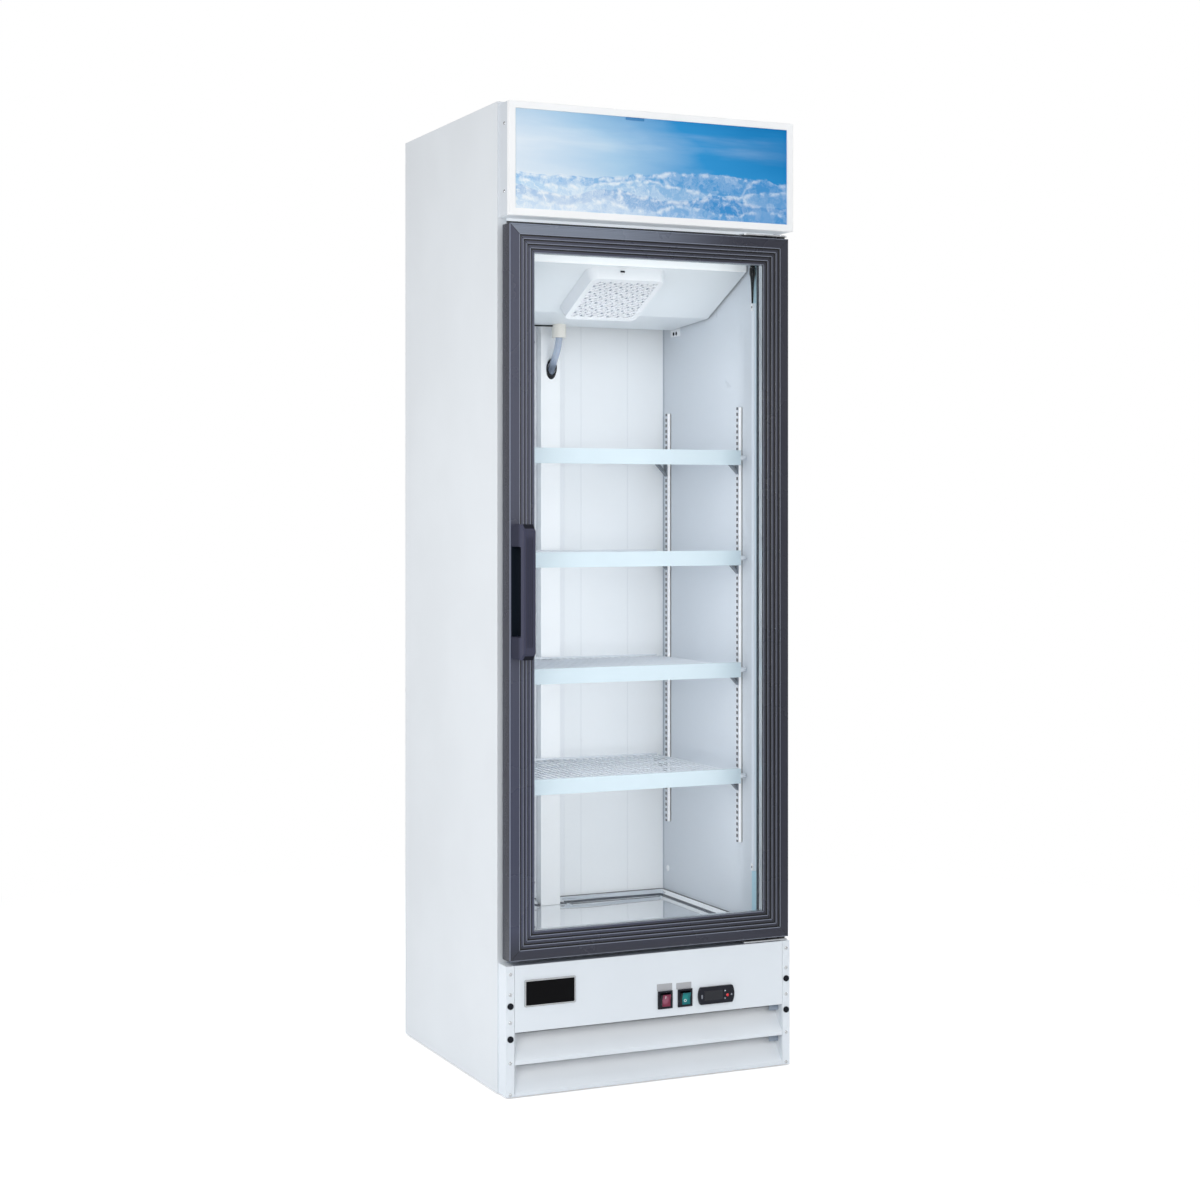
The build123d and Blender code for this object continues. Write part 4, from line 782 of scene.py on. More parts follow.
@dataclass(frozen=True)
class SlottedRail(DrawnBar):
    """Plated channel with painted shade on its slotted face, round its slots and along its flank's
    edge at the wall, and a painted highlight on its flank.
    """

    face_x: float = 0.274
    first: float = 0.4671
    pitch: float = 0.0127
    length: float = 0.007
    centres: tuple[float, float] = (-0.1205, 0.226)

    def paint(self, graph: Graph) -> Value:
        """Gives the plating, painted shade on the slotted face and round the slots, and painted
        shade along the flank's edge at the wall.

        Args:
            graph: the material's graph.

        Returns:
            The colour.
        """
        x, y, z = graph.axes()
        deep = abs(x) - self.face_x
        steel = self.streaked(graph, 0.96, 1.03)
        first, second = (abs(y - centre) for centre in self.centres)
        inside = first.least(second).ramp(0.0036, 0.0046, 1.0, 0.0) * deep.under(0.002)
        slot = ((z - self.first) / self.pitch).part().under(self.length / self.pitch) * inside
        # Painted shade greys the slotted face, darkens round the slots and darkens the flank's
        # edge at the wall.
        return graph.layered(
            steel, (deep.ramp(0.0003, 0.0006, 0.55, 0.0), "b4bcc8"), (slot * 0.95, "1e2129"),
            (deep.ramp(0.0064, 0.0074, 0.0, 0.95), "3d3837"),
        )

    def light(self, graph: Graph) -> Value:
        """Gives the flank a painted highlight glow, and none elsewhere."""
        deep = abs(graph.axes()[0]) - self.face_x
        flank = deep.ramp(0.0004, 0.0010) * deep.ramp(0.0058, 0.0066, 1.0, 0.0)
        return graph.mix(flank, tone("000000"), tone("ffffff"))


@dataclass(frozen=True)
class PolishedTray(DrawnBar):
    """Mirror bright tray with painted shade lines at the foot and the top of its rolled rim."""

    base_z: float = 0.282

    def paint(self, graph: Graph) -> Value:
        """Gives the steel, and painted shade lines in its cove and along its rim's edge.

        Args:
            graph: the material's graph.

        Returns:
            The colour.
        """
        _, _, z = graph.axes()
        rise = z - self.base_z
        foot = rise.ramp(0.0012, 0.0018) * rise.ramp(0.0048, 0.0062, 1.0, 0.0)
        top = rise.ramp(0.0138, 0.0148)
        # Painted shade lines at the cove's foot and the rim's top.
        return graph.layered(
            self.streaked(graph, 0.97, 1.02), (foot * 0.92, "3c424c"), (top * 0.9, "45403f"),
        )

    def gloss(self, graph: Graph) -> Value:
        """Gives the roughness of a mirror with faint rolling lines."""
        return self.rough + self.lines(graph) * 0.025


@dataclass(frozen=True)
class NetScreen(Finish):
    """Pale moulded net behind the fan guard, with a dimple in each six-sided cell that holds
    painted shade.
    """

    pitch: float = 0.0125
    row: float = 0.0135
    slope: tuple[float, float] = (0.902, -0.431)

    def dimples(self, graph: Graph) -> Signal:
        """Gives 1 in the middle of each cell and 0 between the cells.

        Args:
            graph: the material's graph.

        Returns:
            The wrapped value.
        """
        x, y, z = graph.axes()
        along = y * self.slope[0] + z * self.slope[1]
        across = (x * (2 * math.pi / self.pitch)).sine()
        rows = (along * (math.pi / self.row)).sine()
        return (across * rows).ramp(0.05, 0.55)

    def paint(self, graph: Graph) -> Value:
        """Gives the pale net and the painted shade in the dimples, seen through the guard's holes.
        """
        # Painted shade: each dimple greyed as the shade behind the guard's holes.
        return graph.layered(tone(self.colour), (self.dimples(graph), "a9b1bd"))

    def relief(self, graph: Graph) -> Value:
        """Gives the normal of the dimples."""
        return graph.bump(1.0 - self.dimples(graph), 0.0006)


@dataclass(frozen=True)
class ZincSheet(Finish):
    """Zinc coated sheet steel, with the flakes that its coating freezes in."""

    metal: float = 0.9
    rough: float = 0.42
    flake: float = 0.014

    def flakes(self, graph: Graph) -> Signal:
        """Gives one random level for each flake."""
        return graph.signal("RGBToBW", inputs={0: graph.cells(self.flake, "Color")})

    def paint(self, graph: Graph) -> Value:
        """Gives each flake its own grey."""
        return graph.mix(self.flakes(graph), tone(self.colour, 0.88), tone(self.colour, 1.08))

    def gloss(self, graph: Graph) -> Value:
        """Gives each flake its own roughness."""
        return self.rough + (self.flakes(graph) - 0.5) * 0.16


@dataclass(frozen=True)
class FoamedSlab(Finish):
    """Rigid foam with its open cut cells and painted shade in their hollows."""

    def paint(self, graph: Graph) -> Value:
        """Gives painted shade in the hollows between the cell walls."""
        walls = graph.cells(0.0012).ramp(0.1, 0.6)
        return graph.mix(walls, tone(self.colour, 1.05), tone(self.colour, 0.8))

    def relief(self, graph: Graph) -> Value:
        """Gives the normal of the cells."""
        return graph.bump(graph.cells(0.0012), 0.0003)


@dataclass(frozen=True)
class ClearPane(Finish):
    """Clear float glass that mirrors at a slant and smears faintly."""

    tint: float = 0.985
    mirror: float = 0.12

    def shader(self, graph: Graph) -> bpy.types.NodeSocket:
        """Builds clear glass from what passes and what is mirrored.

        Args:
            graph: the material's graph.

        Returns:
            The shader's output.
        """
        slant = graph.signal("Fresnel", inputs={"IOR": 1.45})
        smear = graph.noise(0.25, 4.0, (1.0, 1.0, 0.35)).ramp(0.45, 0.75)
        through = graph.add("BsdfTransparent", inputs={"Color": tone(self.colour)})
        face = graph.add("BsdfPrincipled", inputs={
            "Base Color": tone("eef6f4", self.tint), "Roughness": 0.03 + smear * 0.06,
            "Specular IOR Level": 1.0,
        })
        share = slant * self.mirror * (1.0 + smear * 0.25)
        return graph.add("MixShader", inputs={
            0: share, 1: through.outputs[0], 2: face.outputs[0],
        }).outputs[0]


@dataclass(frozen=True)
class ClearTube(Finish):
    """Soft clear tube, clouded, with painted shade where it runs into the duct."""

    body: float = 0.55
    duct_shade_z: tuple[float, float] = (1.500, 1.514)

    def shader(self, graph: Graph) -> bpy.types.NodeSocket:
        """Builds a cloudy see-through surface, darker and less clear with painted shade low down.

        Args:
            graph: the material's graph.

        Returns:
            The shader's output.
        """
        cloud = graph.noise(0.03, 3.0).ramp(0.3, 0.7)
        # Painted shade: the hose is darker and less clear below these heights, where it runs into
        # the duct.
        duct_shade = graph.axes()[2].ramp(*self.duct_shade_z, 1.0, 0.0)
        return graph.add("BsdfPrincipled", inputs={
            "Base Color": graph.layered(tone(self.colour), (duct_shade * 0.8, "4d5a6c")),
            "Roughness": self.rough, "Coat Weight": 0.6,
            "Alpha": self.body + cloud * 0.12 + duct_shade * 0.25, "Normal": self.relief(graph),
        }).outputs[0]


@dataclass(frozen=True)
class CoolPrint(Finish):
    """The canopy's printed sheet: plain drifts of icy blue over a deep blue sky tone."""

    left: float = -0.313
    width: float = 0.626
    bottom: float = 1.777
    height: float = 0.2055
    drifts: tuple[tuple[float, float, float, str], ...] = (
        (0.42, 0.060, 0.9, "74b6e8"), (0.32, 0.050, 1.7, "a8d4f4"),
        (0.22, 0.045, 2.6, "4c9fdc"), (0.11, 0.035, 3.4, "86c1ee"),
    )

    def paint(self, graph: Graph) -> Value:
        """Gives the printed colours.

        Args:
            graph: the material's graph.

        Returns:
            The colour.
        """
        x, _, z = graph.axes()
        u = (x - self.left) / self.width
        v = (z - self.bottom) / self.height
        cloud = graph.noise(0.16, 4.0, (0.5, 1.0, 2.6))
        sky = graph.signal("ValToRGB", {"stops": [
            (0.0, tone("dfecf8")), (0.3, tone("a9cfec")), (0.6, tone("2f94d4")),
            (1.0, tone("0079bb")),
        ]}, {0: u * 0.86 + v * 0.24 - 0.14 + (cloud - 0.5) * 0.35})
        veil = graph.noise(0.22, 5.0, (0.4, 1.0, 3.4)).ramp(0.52, 0.78)
        colour = graph.layered(sky, (veil * 0.55 * (1.15 - u), "f2f8fd"))
        facets = graph.signal("TexVoronoi", {"feature": "SMOOTH_F1"}, {
            "Vector": graph.warped(0.030, 0.024), "Scale": 44.0, "Smoothness": 0.45,
        }, "Color")
        glassy = graph.signal("TexNoise", inputs={
            "Vector": graph.warped(0.026, 0.03), "Scale": 24.0, "Detail": 5.0,
            "Roughness": 0.62, "Distortion": 1.6,
        })
        ridge = abs(glassy - 0.5).ramp(0.0, 0.03, 1.0, 0.0)
        bright = glassy.ramp(0.50, 0.70) * 0.55 + ridge * 0.22
        level = graph.signal("RGBToBW", inputs={0: facets})
        broken = graph.noise(0.018, 3.0).ramp(0.42, 0.62)
        for rise, swing, waves, code in self.drifts:
            edge = rise + (u * (2 * math.pi * waves) + rise * 9.0).sine() * swing
            under = edge + (graph.noise(0.03, 3.0) - 0.5) * 0.09 - v
            inside = under.ramp(0.0, 0.012)
            white = ((level - 0.40).most(0.0) * 0.7 + bright) * (1.5 - u * 1.1)
            rim = under.near(0.02, 0.0, 0.035) * (0.8 - u * 0.4) * broken
            colour = graph.layered(
                colour, (inside * 0.85, code), (inside * u * 0.70, "1f7fc6"),
                (inside * white, "eef8ff"), (rim, "f6fbff"),
            )
        foot = v.ramp(0.0, 0.45, 1.0, 0.0) * u.ramp(0.1, 0.8, 1.0, 0.0)
        return graph.layered(colour, (foot * 0.6, "f4f9fd"))


@dataclass(frozen=True)
class LitRocker(Finish):
    """Clear coloured rocker cap over a pale moulded core, with one plain mark and painted shade
    along its left side.
    """

    core: str = "ff8f8f"
    mark: Mark = Mark.LINE
    centre_x: float = 0.0
    centre_z: float = 0.165
    shade: float = -0.0068
    mark_up: float = 0.0055
    line_half: tuple[float, float] = (0.0007, 0.0026)
    ring_radius: float = 0.0024
    ring_half: float = 0.00055

    def paint(self, graph: Graph) -> Value:
        """Gives the cap's colour, its core, its mark and the painted shade along its left side.

        Args:
            graph: the material's graph.

        Returns:
            The colour.
        """
        x, _, z = graph.axes()
        across, up = x - self.centre_x, z - self.centre_z
        ribs = (up * 2600.0).sine() * 0.5 + 0.5
        round_middle = across * across / 0.00007 + up * up / 0.00010
        middle = round_middle.ramp(0.1, 1.3, 1.0, 0.0)
        if self.mark is Mark.LINE:
            half, rise = self.line_half
            line = abs(across).under(half) * abs(up - self.mark_up).under(rise)
        else:
            low = up + self.mark_up
            radius = (across * across + low * low) ** 0.5
            line = abs(radius - self.ring_radius).under(self.ring_half)
        # The last layer is painted shade along the cap's left side.
        return graph.layered(
            tone(self.colour), (middle * (0.25 + ribs * 0.3), self.core),
            (line * 0.75, "f3f5f6"), (across.under(self.shade), "17181f"),
        )


WHITE_SHEET = Enamel("white_sheet_enamel", "dee3e8")
# Painted light: the canopy sheet glows on its shaded underside, below under_z.
CANOPY_SHEET = Enamel("canopy_enamel", "d0d6dd", glow=0.24, under_z=1.7662)
# Painted light: the face sheet glows on the shaded strip between the door and the canopy.
FACE_SHEET = FaceSheet("face_sheet_enamel", "dfe4e9", glow=0.38, under_z=1.7665)
BASE_SHEET = LouvredSheet("base_sheet_enamel", "e1e8ef")
POST_SHEET = Enamel("base_post_enamel", "e1e8ef")
ROOM_SHEET = Lining("room_lining_enamel", "eef2f5", rough=0.3, rounded=0.0, grain=0.00001)
COLUMN_SHEET = ColumnSheet("duct_enamel", "f6f9fb", rough=0.32, grain=0.00001)
# Painted light: the cover's front flange glows.
COVER_SHEET = CeilingSheet("ceiling_cover_enamel", "e4eaee", rough=0.34, glow=0.12,
                           grain=0.00001)
BRACKET_SHEET = Enamel("bracket_enamel", "f2f5f8", rough=0.34)
BREAKER = Moulding("mouth_strip_plastic", "b4d7e4", rough=0.34, grain_size=0.001)
# Painted light: the sign frame glows on its shaded underside, below under_z.
SIGN_EDGE = Moulding("sign_frame_plastic", "f7f9fb", rough=0.3, rounded=0.0015,
                     grain_size=0.001, glow=0.24, under_z=1.7662)
PULL_TAB = Moulding("pull_tab_plastic", "3f86bf", rough=0.25)
SIGN_SHEET = CoolPrint("cool_blue_print", "9cc7e8", rough=0.35, shine=0.12)
TUBE_LAMP = Moulding("tube_lamp_glass", "f3f6f8", rough=0.25, glow=0.2)
STRIP_LAMP = Moulding("strip_lamp_cover", "c3ccd8", rough=0.3, glow=0.2)
ZINC = ZincSheet("zinc_coated_sheet", "b9bdc0")
FOAM = FoamedSlab("rigid_foam", "e3d3a2", rough=0.85)
FRAME = SteppedFrame("door_frame_coating", "3e4256", rough=0.27, shine=0.55, rounded=0.0008)
HANDLE = GripPlastic("handle_plastic", "444659", rough=0.42, shine=0.06,
                     grain=0.00001, grain_size=0.0009)
# Painted shade: the dark plate in the handle's loop.
HANDLE_SHADE_PLATE = Moulding("handle_bed_plastic", "0d1620", rough=0.6, shine=0.08)
PANE = ClearPane("door_glass", "ffffff")
SPACER = DrawnBar("glass_spacer_metal", "c9ced2", rough=0.3, metal=0.9)
SEAL = Moulding("seal_rubber", "59616c", rough=0.7, grain_size=0.0008)
NYLON = Moulding("hinge_nylon", "1d1d20", rough=0.5)
HINGE_PLATE = ZincSheet("hinge_zinc", "c6c9cd", rough=0.34, flake=0.006)
PLATED = DrawnBar("plated_steel", "d8dadc", rough=0.16, metal=1.0, streak=0.04)
BARE_PLATE = Moulding("bare_badge_black", "060608", rough=0.3, shine=0.1, grain=0.000006)
BRUSHED_RIM = DrawnBar("badge_rim_metal", "c4c6c8", rough=0.22, metal=1.0,
                       run=Run.ACROSS, rounded=0.0005)
BLACK = Moulding("black_case_plastic", "181a24", rough=0.3, shine=0.2, coat=0.12,
                 rounded=0.0006)
WINDOW = Moulding("display_window", "14161f", rough=0.12, shine=0.3, coat=0.4,
                  grain=0.000002)
KEY = Moulding("grey_key", "3a3c48", rough=0.4, rounded=0.0004)
LABEL = Moulding("grey_label", "a9abb0", rough=0.5, grain_size=0.0008)
RED_CAP = LitRocker("red_rocker_cap", "7a2a44", rough=0.25, shine=0.3, coat=0.2,
                    core="b87a92", centre_x=0.0291, centre_z=0.1665)
GREEN_CAP = LitRocker("green_rocker_cap", "00686e", rough=0.25, shine=0.3, coat=0.2,
                      core="1ba79f", mark=Mark.RING, centre_x=0.075, centre_z=0.1665)
RED_LENS = Moulding("red_lamp_lens", "d81f2c", rough=0.15, coat=0.8, grain=0.000003)
CLIP = Moulding("clip_plastic", "6f767f", rough=0.4)
WIRE_COAT = Moulding("white_wire_coating", "d6dce3", rough=0.3, grain=0.000015)
PRICE_STRIP = Moulding("price_strip_plastic", "c6d6df", rough=0.24, coat=0.2,
                       rounded=0.0005, grain=0.000004)
IVORY = Moulding("ivory_plastic", "ebe8e0", rough=0.35, rounded=0.0008)
HOSE = ClearTube("clear_hose", "b4c2d8", rough=0.25)
# Dark coat for small dark parts, and painted shade for the standards' inner strips and the
# brackets' hole discs.
DARK_COAT_AND_SHADE = Moulding("slot_shadow_coat", "1a1d25", rough=0.8, shine=0.1)
GROMMET = Moulding("grommet_rubber", "d8dee6", rough=0.5, grain=0.00001)
GUARD = Moulding("guard_plastic", "eceff3", rough=0.3, grain=0.00001)
SHADED_TAB = Enamel("louvre_tab_enamel", "8b97a6", rough=0.5)
PORT = Moulding("grey_port", "7d828c", rough=0.35)
FINS = DrawnBar("fin_aluminium", "c3c8cc", rough=0.35, metal=0.95, run=Run.UPRIGHT)
BLADE = Moulding("fan_blade_plastic", "1d1e21", rough=0.45)
MOTOR = Enamel("motor_paint", "4b4e53", rough=0.5)
SHELL = Enamel("compressor_enamel", "111113", rough=0.3, coat=0.3, rounded=0.002)
PAN = Moulding("pan_plastic", "2a2c2f", rough=0.55)
COPPER = DrawnBar("copper_pipe", "c47a55", rough=0.28, metal=1.0, streak=0.2)
FOOT = Moulding("foot_plastic", "1b1b1d", rough=0.6)
PLUG = Moulding("plug_plastic", "171a22", rough=0.4, shine=0.15, rounded=0.0008)
TRAY = PolishedTray("tray_steel", "eef0f2", rough=0.02, metal=0.88, run=Run.ACROSS,
                    grain=0.0000004)
# Painted highlight: the standards' flanks glow.
STANDARD = SlottedRail("standard_zinc", "f7f8fa", rough=0.3, metal=0.12, run=Run.UPRIGHT,
                       glow=0.12)
SCREEN = NetScreen("guard_screen", "f3f5f9", rough=0.6)
LEAD = Moulding("black_lead", "101217", rough=0.45, shine=0.2, grain=0.000008)


# Mesh work


def rounded_outline(
    width: float, height: float, radius: float, steps: int = 6
) -> list[tuple[float, float]]:
    """Gives a rectangle with round corners, about its middle.

    Args:
        width: the full width.
        height: the full height.
        radius: the corners' radius.
        steps: spans on each corner.

    Returns:
        Points in order, anticlockwise.
    """
    points = []
    corners = ((1, 1), (-1, 1), (-1, -1), (1, -1))
    for i, (sx, sy) in enumerate(corners):
        cx, cy = sx * (width / 2 - radius), sy * (height / 2 - radius)
        for k in range(steps + 1):
            angle = math.pi / 2 * (i + k / steps)
            points.append((cx + radius * math.cos(angle), cy + radius * math.sin(angle)))
    return points


def circle(steps: int) -> list[tuple[float, float]]:
    """Gives the cosine and the sine at so many even steps round a circle."""
    angles = [2 * math.pi * i / steps for i in range(steps)]
    return [(math.cos(angle), math.sin(angle)) for angle in angles]


def placed(
    name: str, data: Union[bpy.types.Mesh, bpy.types.Curve], finish: Finish, body: str,
    replaces: Sequence[str],
) -> bpy.types.Object:
    """Puts a finished shape into the scene, riding on a body.

    Args:
        name: the piece's name.
        data: its mesh or its curve.
        finish: what it is made of.
        body: the CAD body that it moves with.
        replaces: CAD nodes that it stands for.

    Returns:
        The object.
    """
    data.materials.append(finish.material())
    piece = bpy.data.objects.new(name, data)
    bpy.context.scene.collection.objects.link(piece)
    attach(piece, body)
    if replaces:
        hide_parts(*replaces)
    log.info("piece %s on %s", name, body)
    return piece


@dataclass(frozen=True)
class Slab:
    """The sizes of a flat piece with round corners and an eased front rim."""

    width: float
    height: float
    thickness: float
    corner: float
    edge: float = 0.0003


class Workpiece:
    """Collects the faces of one piece, in the frame's metres, and dresses it."""

    def __init__(self, name: str) -> None:
        """Starts an empty piece."""
        self.name = name
        self.faces = bmesh.new()

    def loft(self, loops: Sequence[Sequence[Vector]], ring: bool = False) -> Workpiece:
        """Joins closed loops of equally many points with quads.

        Args:
            loops: the loops, in order.
            ring: whether the last loop joins the first; if not, both ends are filled.

        Returns:
            The piece itself.
        """
        rows = [[self.faces.verts.new(p) for p in loop] for loop in loops]
        pairs = list(zip(rows, rows[1:]))
        if ring:
            pairs.append((rows[-1], rows[0]))
        count = len(rows[0])
        for first, second in pairs:
            for i in range(count):
                j = (i + 1) % count
                self.faces.faces.new((first[i], first[j], second[j], second[i]))
        if not ring:
            self.faces.faces.new(rows[0][::-1])
            self.faces.faces.new(rows[-1])
        return self

    def plate(self, facing: Facing, centre: Vector, slab: Slab) -> Workpiece:
        """Adds a plate with round corners and an eased rim.

        Args:
            facing: the way that it looks.
            centre: the middle of its back.
            slab: its sizes.

        Returns:
            The piece itself.
        """
        thickness, edge = slab.thickness, slab.edge
        loops = []
        for out, inset in ((0, 0), (thickness - edge, 0), (thickness - edge * 0.3, edge * 0.3),
                           (thickness, edge)):
            outline = rounded_outline(
                slab.width - 2 * inset, slab.height - 2 * inset,
                max(slab.corner - inset, 0.00005),
            )
            loops.append([facing.at(centre, u, v, out) for u, v in outline])
        return self.loft(loops)

    def turned(
        self, profile: Sequence[tuple[float, float]], start: Vector, axis: Vector,
        steps: int = 32,
    ) -> Workpiece:
        """Turns a profile on a lathe.

        Args:
            profile: radius and height pairs along the axis.
            start: the point at height 0.
            axis: the direction of the height.
            steps: spans round the piece.

        Returns:
            The piece itself.
        """
        turn = axis.normalized().to_track_quat("Z", "Y").to_matrix()
        return self.loft([
            [start + turn @ Vector((radius * c, radius * s, height)) for c, s in circle(steps)]
            for radius, height in profile
        ])

    def done(
        self, finish: Finish, body: str, slot: str = "", replaces: Sequence[str] = (),
        crease: float = 35.0,
    ) -> bpy.types.Object:
        """Turns the faces into an object that rides on a body.

        Args:
            finish: what it is made of.
            body: the CAD body that it moves with.
            slot: the record's material slot, if it has one; not used.
            replaces: CAD nodes that it stands for.
            crease: edges sharper than this many degrees stay sharp.

        Returns:
            The finished object.
        """
        bmesh.ops.recalc_face_normals(self.faces, faces=self.faces.faces)
        for face in self.faces.faces:
            face.smooth = True
        for edge in self.faces.edges:
            edge.smooth = edge.calc_face_angle(0.0) < math.radians(crease)
        mesh = bpy.data.meshes.new(self.name)
        self.faces.to_mesh(mesh)
        self.faces.free()
        return placed(self.name, mesh, finish, body, replaces)


def soft_line(
    name: str, points: Sequence[Point], radius: float, finish: Finish,
    replaces: Sequence[str] = (),
) -> bpy.types.Object:
    """Makes a hose or a lead of the cabinet: a round bar on one smooth spline.

    Args:
        name: the piece's name.
        points: the spline's control points.
        radius: the bar's radius.
        finish: what it is made of.
        replaces: CAD nodes that it stands for.

    Returns:
        The curve object.
    """
    curve = bpy.data.curves.new(name, "CURVE")
    curve.dimensions, curve.bevel_depth, curve.bevel_resolution = "3D", radius, 6
    curve.resolution_u, curve.use_fill_caps = 12, True
    spline = curve.splines.new("NURBS")
    spline.points.add(len(points) - 1)
    for knot, place in zip(spline.points, points):
        knot.co = (*place, 1.0)
    spline.order_u = 3
    spline.use_endpoint_u = True
    return placed(name, curve, finish, "cabinet", replaces)


# Sub-assemblies


@dataclass
class Assembly:
    """A group of CAD nodes and of the pieces that are added to them."""

    frame: Mapping[str, Any]

    def finishes(self) -> Mapping[str, Finish]:
        """Gives the finish of each CAD node of this group."""
        return {}

    def dress(self) -> None:
        """Puts each node's finish on it, and reports it."""
        for name, finish in self.finishes().items():
            node = self.frame["nodes"][name]
            node.data.materials.clear()
            node.data.materials.append(finish.material())
            log.info("node %s in %s", name, finish.name)

    def build(self) -> None:
        """Adds this group's own pieces."""


@dataclass
class Cabinet(Assembly):
    """Outer sheets, lining, foam and the strips round the mouth."""

    def finishes(self) -> Mapping[str, Finish]:
        """Gives the finish of each CAD node of the cabinet."""
        return {
            "side_panels": WHITE_SHEET, "top_panel": WHITE_SHEET, "rear_panel": ZINC,
            "front_face_frame": FACE_SHEET, "inner_liner": ROOM_SHEET,
            "breaker_frame": BREAKER, "foam_insulation": FOAM,
        }


@dataclass
class Canopy(Assembly):
    """Light box over the door, with its printed sheet."""

    tab_x: float = -0.045
    tab: Slab = Slab(0.042, 0.006, 0.0008, 0.0015)
    tab_drop: float = 0.003

    def finishes(self) -> Mapping[str, Finish]:
        """Gives the finish of each CAD node of the canopy."""
        return {
            "canopy_back_frame": CANOPY_SHEET, "canopy_housing": CANOPY_SHEET,
            "sign_frame": SIGN_EDGE, "sign_panel": SIGN_SHEET, "canopy_lamp": TUBE_LAMP,
        }

    def build(self) -> None:
        """Adds the small pull tab on the upper edge of the printed sheet."""
        low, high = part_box("sign_panel")
        centre = Vector((self.tab_x, low.y, high.z - self.tab_drop - self.tab.height / 2))
        tab = Workpiece("sign_pull_tab").plate(Facing.FRONT, centre, self.tab)
        tab.done(PULL_TAB, "cabinet")


@dataclass
class BaseFront(Assembly):
    """Louvred front of the machine compartment, with its badge and fasteners."""

    screw_rows: tuple[float, ...] = (0.249, 0.208, 0.152, 0.071, 0.008)
    canopy_rows: tuple[float, ...] = (1.8155, 1.9515)
    canopy_screw_y: float = -0.2515
    screw_edge: float = 0.00025
    tab_rows: tuple[float, float] = (0.058, 0.1232)
    tab: Slab = Slab(0.022, 0.013, 0.0012, 0.001)
    tab_inset: float = 0.0135
    tab_depth: float = 0.014
    head_radius: float = 0.0036
    head_height: float = 0.0016
    head_steps: int = 48
    dome: Pairs = (
        (1.0, 0.0), (1.0, 0.45), (0.9, 0.75), (0.7, 0.92), (0.5, 1.0),
    )
    recess: Pairs = ((0.48, 0.98), (0.42, 0.45))
    arm_cosine: float = 0.97

    def finishes(self) -> Mapping[str, Finish]:
        """Gives the finish of each CAD node of the base front."""
        return {
            "base_posts": POST_SHEET, "base_front_cover": BASE_SHEET,
            "badge_plate": BARE_PLATE, "badge_rim": BRUSHED_RIM,
            "plugs_and_grommets": PLUG,
        }

    def screw(self, piece: Workpiece, seat: Vector, out: Vector) -> None:
        """Adds a low domed head with a cross recess.

        Args:
            piece: the piece that gains the head.
            seat: the point under the head's middle.
            out: the way that the head looks.
        """
        r, h = self.head_radius, self.head_height
        turn = out.normalized().to_track_quat("Z", "Y").to_matrix()
        loops = []
        for share, rise in self.dome + self.recess:
            loop = []
            for c, s in circle(self.head_steps):
                reach = share
                if (share, rise) in self.recess and max(abs(c), abs(s)) <= self.arm_cosine:
                    reach = 0.17 * share / self.recess[0][0] + 0.02
                loop.append(seat + turn @ Vector((r * reach * c, r * reach * s, h * rise)))
            loops.append(loop)
        piece.loft(loops)

    def build(self) -> None:
        """Adds the screws' heads in place of the plain ones, and the louvres' end tabs."""
        posts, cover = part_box("base_posts"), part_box("base_front_cover")
        canopy_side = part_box("canopy_housing")[1].x
        middle = (cover[1].x + posts[1].x) / 2 + self.screw_edge
        heads = Workpiece("cross_screws")
        for side in (-1, 1):
            for z in self.screw_rows:
                self.screw(heads, Vector((side * middle, posts[0].y, z)), Vector((0, -1, 0)))
            for z in self.canopy_rows:
                seat = Vector((side * canopy_side, self.canopy_screw_y, z))
                self.screw(heads, seat, Vector((side, 0, 0)))
        heads.done(PLATED, "cabinet", "bright_steel", ["cover_screws"])
        tabs = Workpiece("louvre_end_tabs")
        for z in self.tab_rows:
            seat = Vector((cover[1].x - self.tab_inset, cover[0].y + self.tab_depth, z))
            tabs.plate(Facing.FRONT, seat, self.tab)
        tabs.done(SHADED_TAB, "cabinet")


